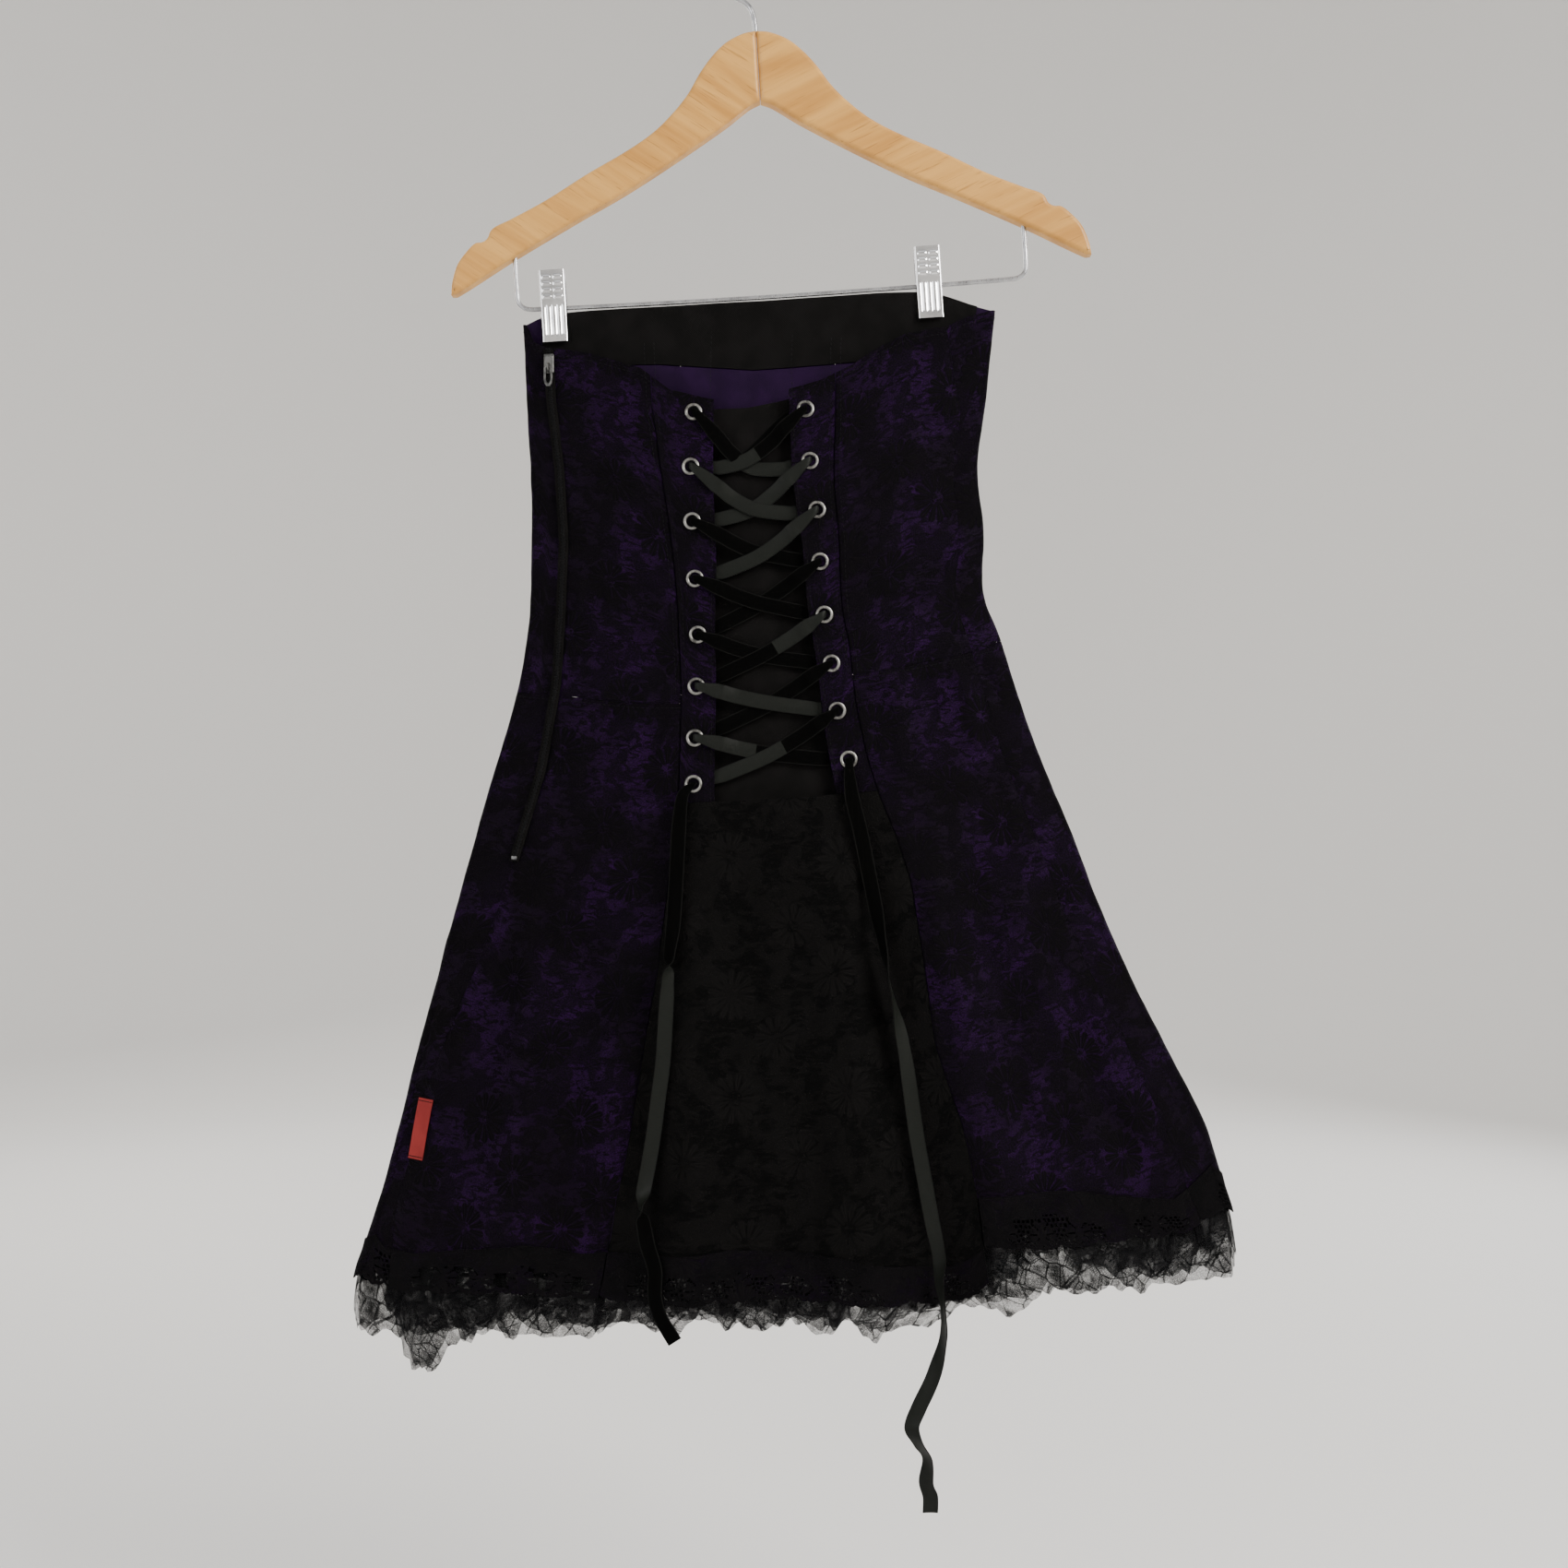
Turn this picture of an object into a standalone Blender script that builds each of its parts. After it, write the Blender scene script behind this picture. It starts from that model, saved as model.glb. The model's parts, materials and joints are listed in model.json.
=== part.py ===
"""Back-laced mini dress hanging by two clips from a wooden hanger.

Metres in the scene, millimetres in the tables. +Z is up and the back of the dress faces -Y.
The origin is the inner top of the hanger's hook, where a rail holds it.
Heights and widths of the dress were read in the plane y = 0, as an eye EYE_DISTANCE away sees them.
"""
import math
from collections import namedtuple

import bmesh
import bpy
from mathutils import Matrix, Vector

MM = 0.001
SEAM_GAP = 0.3

# Where the eye stands that read the sizes
EYE_X = 24.0
EYE_Z = -593.0
EYE_DISTANCE = 1100.0

# Cloth
WALL = 1.6
PLACKET_WALL = 2.2
PLACKET_CLEAR = 0.45
INSET_CLEAR = 0.45
TULLE_CLEAR = 0.4
MODESTY_WALL = 1.2
MODESTY_DEPTH = 7.6
MODESTY_LAP = 10.0
FACING_WALL = 1.0
LINING_EASE = 0.4
LINING_OVERLAP = 4.0
MODESTY_DROP = 4.0
LACE_WALL = 1.0
TULLE_WALL = 1.0
RIBBON_WALL = 0.8
RIBBON_WIDTH = 10.0

# Hanger
HANGER_LEAN = math.radians(3.64)
HANGER_THICK = 12.0
HOOK_WIRE = 1.7
HOOK_RADIUS = 24.5
HOOK_START = 236
HOOK_STEP = 14
HOOK_STEPS = 20
BORE_EASE = 0.4
BAR_WIRE = 1.6
CLIP_WIDTH = 17.0
CLIP_XS = {"left": -152.5, "right": 109.0}

# Level rows of the cloth, from above the top corners, row 1, to below the hem, row 13.
# Each row runs from the left fold to the right fold, and its middle sags below a straight line.
# back and front are how far each layer stands out from the folds, and fold is the radius of the folds.
Row = namedtuple("Row", "left_x left_z right_x right_z sag back front fold")
ROWS = (
    Row(-160, -243, 173, -233, 0, 1, 0, 2.2),
    Row(-157, -273, 170, -263, 0, 2, 0, 2.2),
    Row(-154, -329, 164, -323, 2, 10, 3, 2.4),
    Row(-151, -387, 158, -371, 5, 16, 8, 2.6),
    Row(-151, -438, 162, -416, 8, 19, 11, 2.8),
    Row(-153, -483, 162, -461, 11, 20, 13, 3.0),
    Row(-161, -531, 174, -494, 13, 21, 14, 3.2),
    Row(-179, -593, 196, -561, 15, 25, 18, 3.6),
    Row(-197, -657, 222, -625, 17, 31, 24, 4.2),
    Row(-214, -721, 251, -699, 19, 37, 30, 4.8),
    Row(-231, -786, 282, -763, 21, 43, 35, 5.4),
    Row(-247, -850, 313, -824, 23, 48, 40, 6.0),
    Row(-263, -903, 327, -866, 25, 51, 44, 6.5),
    Row(-274, -937, 335, -892, 26, 53, 46, 6.8),
    Row(-278, -979, 342, -934, 26, 54, 47, 7.0),
    Row(-282, -1021, 349, -976, 26, 55, 48, 7.2),
)
WAIST_ROW = 6.0
HEM_ROW = 13.0
LAST_ROW = len(ROWS) - 1
CAP = 0.10
FRONT_START = 1.0 + CAP
FRONT_END = 2.0 + CAP
ROUND = 2.0 + 2.0 * CAP

# Places across the front layer, 0 at its left: the two seams of its middle panel, and its inner cloth's sides
FRONT_SEAMS = (0.33, 0.67)
FACING_SIDES = (0.03, 0.97)
LINING_SIDES = (0.05, 0.95)

# Soft upright folds of the skirt: place across the layer, half width, height out of the layer.
# They start at the waist and reach their full height at the hem.
Fold = namedtuple("Fold", "place width height")
BACK_FOLDS = (
    Fold(0.13, 0.050, 7),
    Fold(0.27, 0.055, -8),
    Fold(0.38, 0.050, 9),
    Fold(0.485, 0.035, -9),
    Fold(0.575, 0.045, 8),
    Fold(0.665, 0.035, -8),
    Fold(0.76, 0.050, 8),
    Fold(0.88, 0.045, -6),
)
FRONT_FOLDS = (
    Fold(0.12, 0.050, 6),
    Fold(0.24, 0.045, -7),
    Fold(0.36, 0.055, 10),
    Fold(0.50, 0.060, -9),
    Fold(0.64, 0.055, 10),
    Fold(0.77, 0.045, -7),
    Fold(0.88, 0.050, 6),
)

# Lines on the dress, as x and z in the plane y = 0
NECKLINE_BACK = (
    (-158, -273), (-150, -285), (-141, -289), (-127, -290.5), (-111, -293), (-76, -303), (-56, -318),
    (-26, -325), (-2, -324), (23, -319), (48, -312), (73, -300), (87, -290), (109, -279), (128, -275.5),
    (138, -274), (150, -268), (170, -263),
)
TOP_FRONT = (
    (-158, -273), (-146, -268.5), (-127, -265), (-111, -263.5), (-59, -260.5), (12, -256.5),
    (57, -253.5), (95, -251), (121, -250.5), (135, -253), (153, -259), (170, -263),
)
FACING_FOOT = ((-158, -303), (-64, -301), (3, -305), (68, -300), (121, -296), (170, -297))
SIDE_SEAM_LEFT = (
    (-141, -270), (-138, -325), (-132, -375), (-129, -424), (-131, -474), (-134, -523),
    (-145, -585), (-163, -645), (-197, -738), (-226, -811), (-244, -882), (-251, -937), (-255, -985),
)
SIDE_SEAM_RIGHT = (
    (134, -262), (147, -335), (145, -432), (154, -498), (179, -580), (217, -676), (256, -760),
    (291, -837), (311, -889), (322, -940),
)
CENTRE_SEAM_LEFT = (
    (-70, -290), (-68, -330), (-58, -400), (-50, -474), (-49, -585), (-50, -606), (-60, -689),
    (-76, -786), (-93, -882), (-104, -946), (-110, -990),
)
CENTRE_SEAM_RIGHT = (
    (60, -290), (60, -345), (63, -437), (69, -490), (74, -535), (82, -573), (91, -601), (103, -630),
    (113, -662), (121, -711), (130, -775), (148, -828), (156, -864), (166, -930), (170, -960), (173, -990),
)
PLACKET_EDGE_LEFT = ((-24, -300), (-24, -610), (-24, -640))
PLACKET_EDGE_RIGHT = ((26, -300), (37, -435), (43, -488), (51, -550), (60, -600), (64, -640))
WAIST_BACK = (
    (-165, -529), (-125, -532), (-76, -537), (-51, -537), (20, -530), (73, -517), (122, -508),
    (167, -498), (180, -494),
)
PLACKET_FOOT = ((-60, -607), (-24, -605), (20, -603), (60, -600), (95, -597))
HEM_BACK_LEFT = (
    (-276, -933), (-262, -940), (-240, -945), (-209, -946), (-166, -946), (-123, -950), (-85, -951),
)
HEM_INSET = (
    (-120, -950), (-85, -952), (-54, -956), (-19, -953), (66, -954), (140, -953), (155, -948), (175, -936),
)
HEM_BACK_RIGHT = ((150, -916), (172, -914), (249, -911), (301, -905), (335, -887))
HEM_BAND = 24.0

# Lowest points of the tulle's waves at the back
TULLE_LOW = (
    (-262, -938), (-250, -968), (-238, -1009), (-226, -1004), (-211, -984), (-180, -977), (-148, -966),
    (-125, -974), (-98, -967), (-40, -968), (10, -972), (28, -968), (55, -980), (69, -975), (89, -984),
    (110, -974), (131, -969), (159, -955), (186, -934), (204, -922), (246, -928), (262, -941),
    (280, -937), (302, -931), (326, -914),
)
TULLE_FRONT_DROP = 34.0
TULLE_DEPTH = 6.5

# Eyelets, from the top: side, x, z
EYELETS = {
    "left": (
        (-39, -334), (-41, -372), (-40, -410), (-38, -450), (-36, -489), (-37, -525), (-38, -561), (-39, -593),
    ),
    "right": (
        (39, -332), (42, -368), (47, -402), (49, -438), (52, -475), (57, -509), (61, -542), (69, -576),
    ),
}
EYELET_RIM = 6.0
EYELET_BORE = 3.1
EYELET_BARREL = 3.8
EYELET_HOLE = 4.3
EYELET_SIDES = 10

# Free ends of the ribbon: x and z that the eye sees, width, and turn about the ribbon's length in degrees
Bend = namedtuple("Bend", "x z width turn")
TAIL_LEFT = (
    Bend(-43, -597, 6, 0), Bend(-46, -604, 8, 0), Bend(-48, -625, 10, 0), Bend(-49, -650, 10, 8),
    Bend(-51, -689, 10, 12), Bend(-53, -712, 10, 40), Bend(-54, -728, 10, 140), Bend(-56, -755, 10, 170),
    Bend(-58, -786, 10, 180), Bend(-61, -812, 10, 175), Bend(-65, -842, 10, 180), Bend(-70, -872, 10, 190),
    Bend(-71, -886, 10, 250), Bend(-70, -898, 10, 330), Bend(-68, -914, 10, 360), Bend(-66, -932, 10, 372),
    Bend(-66, -950, 10, 378), Bend(-62, -965, 10, 378), Bend(-52, -982, 10, 372),
)
TAIL_RIGHT = (
    Bend(69, -582, 6, 0), Bend(69, -590, 8, 0), Bend(71, -605, 10, 0), Bend(76, -625, 10, 0),
    Bend(81, -650, 10, 0), Bend(86, -676, 10, 20), Bend(91, -705, 10, 60), Bend(96, -734, 10, 95),
    Bend(105, -773, 10, 150), Bend(110, -805, 10, 175), Bend(114, -837, 10, 180), Bend(119, -866, 10, 180),
    Bend(124, -895, 10, 190), Bend(129, -920, 10, 215), Bend(132, -940, 10, 240), Bend(135, -960, 10, 258),
    Bend(135, -980, 10, 250), Bend(128, -1006, 10, 215), Bend(118, -1028, 10, 190), Bend(113, -1042, 10, 200),
    Bend(118, -1054, 10, 230), Bend(124, -1064, 10, 235), Bend(123, -1080, 10, 205), Bend(126, -1090, 10, 190),
    Bend(126, -1101, 10, 180),
)

# Below this height a tail hangs free of the skirt
TAIL_FREE = -930.0
TAIL_STAND = 6.2

# One crossing of the ribbon: how far it stands out of the cloth at each step, and its width there
EYELET_WIDTH = 4.6
OVER_PANEL = -2.9
UNDER_STRAND = -4.6

# Slack loop of ribbon between the two top eyelets: x, z, lift out of the cloth, width
SLACK_LOOP = (
    (-30, -340, -3.4, 5.0), (-24, -346, -5.0, 4.5), (-15, -356, -6.2, 4.5), (-9, -361.5, -6.2, 4.5),
    (-4, -362.5, -6.2, 4.5), (2, -358, -6.2, 4.5), (11, -349, -6.2, 4.5), (20, -340, -6.2, 4.5),
    (27, -335, -5.0, 5.0), (34, -332, -3.4, 5.0),
)

# Lace edge and layers at the hem
LAYER_GAP = 0.5
HEM_CLEAR = 1.0
SCALLOP = 2.0
LEAST_GAP = 45.0
TULLE_COLUMNS = 4

# Zip and label
ZIP_TOP = -290.5
ZIP_FOOT = -647.0
ZIP_STEPS = 14
ZIP_LIFT = 1.6
ZIP_TAPE_WIDTH = 7.0
ZIP_TAPE_WALL = 0.8
SLIDER_THICK = 2.2
SLIDER_SIZE = (7.0, SLIDER_THICK, 13.5)
SLIDER_RISE = 3.0
STOP_SIZE = (4.0, 1.2, 2.4)
ARCH_RADIUS = 2.8
ARCH_WIRE = 0.6
PULL_PIVOT_Z = -304.0
PIVOT_LIFT = 1.1
PULL_THICK = 1.2
PULL_OUTLINE = (
    (-2.2, 0.6), (2.2, 0.6), (2.9, -0.6), (3.2, -8.0), (2.6, -11.5), (1.2, -13.4), (-1.2, -13.4),
    (-2.6, -11.5), (-3.2, -8.0), (-2.9, -0.6),
)
PULL_WINDOW = (
    (-1.3, -0.6), (-1.7, -8.0), (-1.2, -10.2), (0.0, -11.4), (1.2, -10.2), (1.7, -8.0), (1.3, -0.6),
)
LABEL_LINE = ((-223, -812), (-231, -854))
LABEL_WIDTH = 11.0
LABEL_WALL = 0.6
LABEL_LIFT = 1.6

# Hanger, upright, before it leans. Half of the wooden yoke, from the seam over the top to the tip
ARM_OUTLINE = (
    (0.15, -118.6), (0.15, -70.0), (9, -71.2), (21.5, -76.8), (32, -86), (41, -97), (49.5, -110),
    (60, -122), (76, -136), (96, -148), (123, -161.5), (153, -178), (179, -190), (189, -194),
    (193, -197), (195.5, -202), (199, -204.2), (204, -204.8), (210, -209.8), (217.5, -219),
    (221.8, -231), (223, -239.5), (219, -239.3), (178, -216.6), (130, -192), (98, -176.2),
    (64, -157.2), (26, -134.4), (8, -122),
)
BAR_X = 177.5
HOOK_STEM = ((0, -94), (0, -72), (-0.4, -63), (-1.4, -56.5), (-3.4, -51.4), (-7.0, -47.2))
BAR_HALF = (
    (BAR_X, -207.5), (BAR_X, -243), (176.3, -248), (172.5, -251.2), (166, -252.2), (90, -253.5), (0, -254),
)
CLIP_FRONT = (
    (-2.7, -226.5), (-4.3, -226.5), (-4.7, -240), (-4.4, -252), (-4.6, -264), (-5.4, -273), (-5.9, -277),
    (-3.6, -277), (-2.5, -273), (-2.4, -262), (-2.4, -252), (-3.0, -240),
)
CLIP_BACK = (
    (2.2, -228), (2.4, -240), (1.95, -252), (1.9, -258), (1.6, -264), (1.6, -273), (2.4, -277), (4.4, -277),
    (3.6, -272), (3.5, -262), (3.6, -252), (4.0, -240), (3.8, -228),
)


def clear_scene():
    for old in list(bpy.data.objects):
        bpy.data.objects.remove(old)


def collection(name):
    group = bpy.data.collections.new(name)
    bpy.context.scene.collection.children.link(group)
    return group


def material(name, colour, roughness, metallic=0.0):
    mat = bpy.data.materials.new(name)
    mat.use_nodes = True
    shader = mat.node_tree.nodes["Principled BSDF"]
    shader.inputs["Base Color"].default_value = (*colour, 1.0)
    shader.inputs["Roughness"].default_value = roughness
    shader.inputs["Metallic"].default_value = metallic
    return mat


def finish_mesh(bm, name, kind):
    """Put a mesh built in millimetres into the scene as one named object."""
    bmesh.ops.scale(bm, vec=Vector((MM, MM, MM)), verts=bm.verts)
    mesh = bpy.data.meshes.new(name)
    bm.to_mesh(mesh)
    bm.free()
    obj = bpy.data.objects.new(name, mesh)
    PARTS.objects.link(obj)
    colour, roughness, metallic = FINISHES[kind]
    mesh.materials.append(material(name, colour, roughness, metallic))
    return obj


def smooth(obj, degrees=50):
    obj.data.shade_smooth()
    obj.data.set_sharp_from_angle(angle=math.radians(degrees))


# Cloth surface

def between(a, b, c, d, s):
    """A smooth value s of the way from b to c."""
    return b + 0.5 * s * (c - a + s * (2 * a - 5 * b + 4 * c - d + s * (3 * (b - c) + d - a)))


def row_at(v):
    last = len(ROWS) - 1
    k = min(max(int(v), 0), last - 1)
    near = (ROWS[max(k - 1, 0)], ROWS[k], ROWS[k + 1], ROWS[min(k + 2, last)])
    return Row(*(between(*values, v - k) for values in zip(*near)))


def folds_at(folds, place, v):
    grown = max(0.0, (v - WAIST_ROW) / (HEM_ROW - WAIST_ROW)) ** 1.3
    total = 0.0
    for fold in folds:
        total += fold.height * math.exp(-((place - fold.place) / fold.width) ** 2)
    return grown * total * min(1.0, 8 * place * (1 - place))


def in_cap(t):
    return 1.0 < t % ROUND < FRONT_START or t % ROUND > FRONT_END


def on_front(place):
    return FRONT_END - place


def cloth(t, v):
    """Middle of the wall. t runs round the dress: 0 to 1 along the back layer from left to right,
    CAP round the right fold, 1 back along the front layer, and CAP round the left fold."""
    row = row_at(v)
    t %= ROUND
    if in_cap(t):
        at_right = t < FRONT_START
        turn = math.pi * (t - 1.0 if at_right else t - FRONT_END) / CAP
        corner_x = row.right_x - row.fold if at_right else row.left_x + row.fold
        corner_z = row.right_z if at_right else row.left_z
        way = 1.0 if at_right else -1.0
        return Vector((
            corner_x + way * row.fold * math.sin(turn),
            -row.fold - way * row.fold * math.cos(turn),
            corner_z,
        ))
    on_back = t <= 1.0
    place = t if on_back else FRONT_END - t
    swell = math.sin(math.pi * place) ** 0.85 if 0.0 < place < 1.0 else 0.0
    x = row.left_x + row.fold + (row.right_x - row.left_x - 2 * row.fold) * place
    z = row.left_z + (row.right_z - row.left_z) * place - row.sag * swell
    if on_back:
        y = -2 * row.fold - row.back * swell - folds_at(BACK_FOLDS, place, v)
    else:
        y = row.front * swell + folds_at(FRONT_FOLDS, place, v)
    return Vector((x, y, z))


def outward(t, v):
    """The way out of the cloth."""
    step = 0.004
    along = cloth(t + step, v) - cloth(t - step, v)
    down = cloth(t, min(v + 0.05, LAST_ROW)) - cloth(t, max(v - 0.05, 0.0))
    return down.cross(along).normalized()


def lifted(t, v, lift):
    return cloth(t, v) + outward(t, v) * lift


def seen_at(point):
    """Where the eye sees a point, in the plane y = 0."""
    nearer = EYE_DISTANCE / (EYE_DISTANCE + point.y)
    return EYE_X + (point.x - EYE_X) * nearer, EYE_Z + (point.z - EYE_Z) * nearer


def place_of(x, z, front=False):
    """The t and v where the eye sees x, z on the back layer, or on the front layer."""
    place = 0.5
    v = 6.0
    for _ in range(40):
        seen_x, seen_z = seen_at(cloth(on_front(place) if front else place, v))
        place += 0.8 * (x - seen_x) / 400.0
        v -= 0.7 * (z - seen_z) / 60.0
        place = min(max(place, 0.0), 1.0)
        v = min(max(v, 0.0), float(LAST_ROW))
    return (on_front(place) if front else place), v


def line_value(points, at):
    """Second value of a line of points, where its first value is at."""
    points = sorted(points)
    if at <= points[0][0]:
        return points[0][1]
    for (a, value_a), (b, value_b) in zip(points, points[1:]):
        if at <= b:
            return value_a + (value_b - value_a) * (at - a) / (b - a)
    return points[-1][1]


def side_line(points):
    """A line that runs down the back: t for each v."""
    places = [place_of(x, z) for x, z in points]
    return lambda v: line_value([(place_v, t) for t, place_v in places], v)


def level_line(points, front=False):
    """A line that runs across one layer: v for each t."""
    places = [place_of(x, z, front) for x, z in points]
    return lambda t: line_value(places, t)


def around(back, front):
    """A line that runs right round the dress, from one for each layer."""
    def value(t):
        t %= ROUND
        if t <= 1.0:
            return back(t)
        if t < FRONT_START:
            return back(1.0) + (front(FRONT_START) - back(1.0)) * (t - 1.0) / CAP
        if t <= FRONT_END:
            return front(t)
        return front(FRONT_END) + (back(0.0) - front(FRONT_END)) * (t - FRONT_END) / CAP
    return value


def level(v):
    return lambda t: v


def moved_down(line, distance):
    """A level line moved down the cloth by millimetres."""
    def value(t):
        v = line(t)
        per_row = (cloth(t, v + 0.2) - cloth(t, v - 0.2)).length / 0.4
        return v + distance / per_row
    return value


def moved_along(line, distance):
    """A side line moved round the cloth by millimetres."""
    def value(v):
        t = line(v)
        per_turn = (cloth(t + 0.01, v) - cloth(t - 0.01, v)).length / 0.02
        return t + distance / per_turn
    return value


def turn_on(line):
    """A side line of the back's left half, counted on past the left fold."""
    return lambda v: line(v) + ROUND


# Building blocks

def sheet_grid(across, down, point):
    """An open grid; point gives the place of a, 0 to 1 across, and b, 0 to 1 down."""
    bm = bmesh.new()
    bmesh.ops.create_grid(bm, x_segments=across, y_segments=down, size=1.0)
    for vert in bm.verts:
        a = 0.5 * (vert.co.x + 1.0)
        b = 0.5 * (1.0 - vert.co.y)
        vert.co = point(a, b)
    return bm


def solidify(obj, wall):
    """Give an open sheet its wall, half to each side."""
    shell = obj.modifiers.new("wall", "SOLIDIFY")
    shell.thickness = wall * MM
    shell.offset = 0.0
    shell.use_even_offset = True


def panel(name, kind, left, right, top, bottom, across, down, wall=WALL, lift=None, drop=None, gaps=None):
    """A piece of cloth between two side lines and two level lines, seam gaps taken off.
    lift and drop move a point out of the cloth and down it, and gaps opens cells of the grid."""
    left = moved_along(left, 0.5 * SEAM_GAP)
    right = moved_along(right, -0.5 * SEAM_GAP)
    top = moved_down(top, 0.5 * SEAM_GAP)
    bottom = moved_down(bottom, -0.5 * SEAM_GAP)

    def corner(line, a):
        v = 6.0
        for _ in range(6):
            t = left(v) + (right(v) - left(v)) * a
            v = line(t)
        return v

    columns = {}

    def point(a, b):
        key = round(a, 5)
        if key not in columns:
            columns[key] = (corner(top, a), corner(bottom, a))
        v_top, v_bottom = columns[key]
        v = v_top + (v_bottom - v_top) * b
        t = left(v) + (right(v) - left(v)) * a
        if drop:
            v = moved_down(level(v), drop(a, b))(t)
        return lifted(t, v, lift(a, b, t) if lift else 0.0)

    bm = sheet_grid(across, down, point)
    if gaps:
        gaps(bm, across, down)
    obj = finish_mesh(bm, name, kind)
    solidify(obj, wall)
    smooth(obj)
    return obj


def strip(name, kind, stations, wall):
    """A ribbon or tape through stations, each a middle, a side vector and a width."""
    count = len(stations) - 1

    def point(a, b):
        middle, side, width = stations[round(b * count)]
        return middle + side.normalized() * width * (a - 0.5)

    obj = finish_mesh(sheet_grid(1, count, point), name, kind)
    solidify(obj, wall)
    smooth(obj)
    return obj


def outline_curve(name, loops, thick, bevel=0.0, steps=1):
    """A flat outline in the x, z plane, thick along y, with a rounded rim."""
    curve = bpy.data.curves.new(name, "CURVE")
    curve.dimensions = "2D"
    curve.fill_mode = "BOTH"
    curve.extrude = (0.5 * thick - bevel) * MM
    curve.bevel_depth = bevel * MM
    curve.bevel_resolution = steps
    curve.offset = -bevel * MM
    for loop in loops:
        spline = curve.splines.new("POLY")
        spline.points.add(len(loop) - 1)
        for point, (x, z) in zip(spline.points, loop):
            point.co = (x * MM, z * MM, 0.0, 1.0)
        spline.use_cyclic_u = True
    obj = bpy.data.objects.new(name, curve)
    obj.rotation_euler.x = math.radians(90)
    PARTS.objects.link(obj)
    return obj


def wire(name, points, radius):
    """A bent wire with flat ends."""
    curve = bpy.data.curves.new(name, "CURVE")
    curve.dimensions = "3D"
    curve.bevel_depth = radius * MM
    curve.bevel_resolution = 2
    curve.use_fill_caps = True
    spline = curve.splines.new("POLY")
    spline.points.add(len(points) - 1)
    for point, place in zip(spline.points, points):
        point.co = (*(Vector(place) * MM), 1.0)
    obj = bpy.data.objects.new(name, curve)
    PARTS.objects.link(obj)
    return obj


def as_mesh(obj, kind):
    """A curve made a mesh of its own, with its ends closed."""
    bpy.context.view_layer.update()
    evaluated = obj.evaluated_get(bpy.context.evaluated_depsgraph_get())
    mesh = bpy.data.meshes.new_from_object(evaluated)
    bm = bmesh.new()
    bm.from_mesh(mesh)
    bmesh.ops.remove_doubles(bm, verts=bm.verts, dist=0.00001)
    bm.to_mesh(mesh)
    bm.free()
    name = obj.name
    matrix = obj.matrix_world.copy()
    bpy.data.objects.remove(obj)
    solid = bpy.data.objects.new(name, mesh)
    solid.matrix_world = matrix
    PARTS.objects.link(solid)
    mesh.materials.clear()
    colour, roughness, metallic = FINISHES[kind]
    mesh.materials.append(material(name, colour, roughness, metallic))
    smooth(solid, 35)
    return solid


def cutter(name, rods):
    """Rods in one cutting object, each a middle, a direction, a radius, a length and its sides."""
    bm = bmesh.new()
    for middle, direction, radius, length, sides in rods:
        turn = Vector((0, 0, 1)).rotation_difference(direction).to_matrix().to_4x4()
        bmesh.ops.create_cone(
            bm, cap_ends=True, segments=sides, radius1=radius, radius2=radius, depth=length,
            matrix=Matrix.Translation(middle) @ turn,
        )
    bmesh.ops.scale(bm, vec=Vector((MM, MM, MM)), verts=bm.verts)
    mesh = bpy.data.meshes.new(name)
    bm.to_mesh(mesh)
    bm.free()
    obj = bpy.data.objects.new(name, mesh)
    obj.hide_render = True
    obj.display_type = "WIRE"
    CUTTERS.objects.link(obj)
    return obj


def cut(obj, tool):
    hole = obj.modifiers.new("cut", "BOOLEAN")
    hole.operation = "DIFFERENCE"
    hole.solver = "EXACT"
    hole.object = tool


FINISHES = {
    "lace_cloth": ((0.10, 0.055, 0.20), 0.75, 0.0),
    "black_cloth": ((0.02, 0.02, 0.022), 0.8, 0.0),
    "black_lace": ((0.025, 0.022, 0.03), 0.85, 0.0),
    "tulle": ((0.10, 0.10, 0.105), 0.9, 0.0),
    "lining": ((0.16, 0.10, 0.30), 0.5, 0.0),
    "ribbon": ((0.03, 0.035, 0.035), 0.45, 0.0),
    "nickel": ((0.45, 0.45, 0.46), 0.3, 1.0),
    "chrome": ((0.75, 0.76, 0.78), 0.15, 1.0),
    "wood": ((0.66, 0.42, 0.20), 0.4, 0.0),
    "red_tape": ((0.60, 0.05, 0.05), 0.6, 0.0),
}

# The dress

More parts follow.
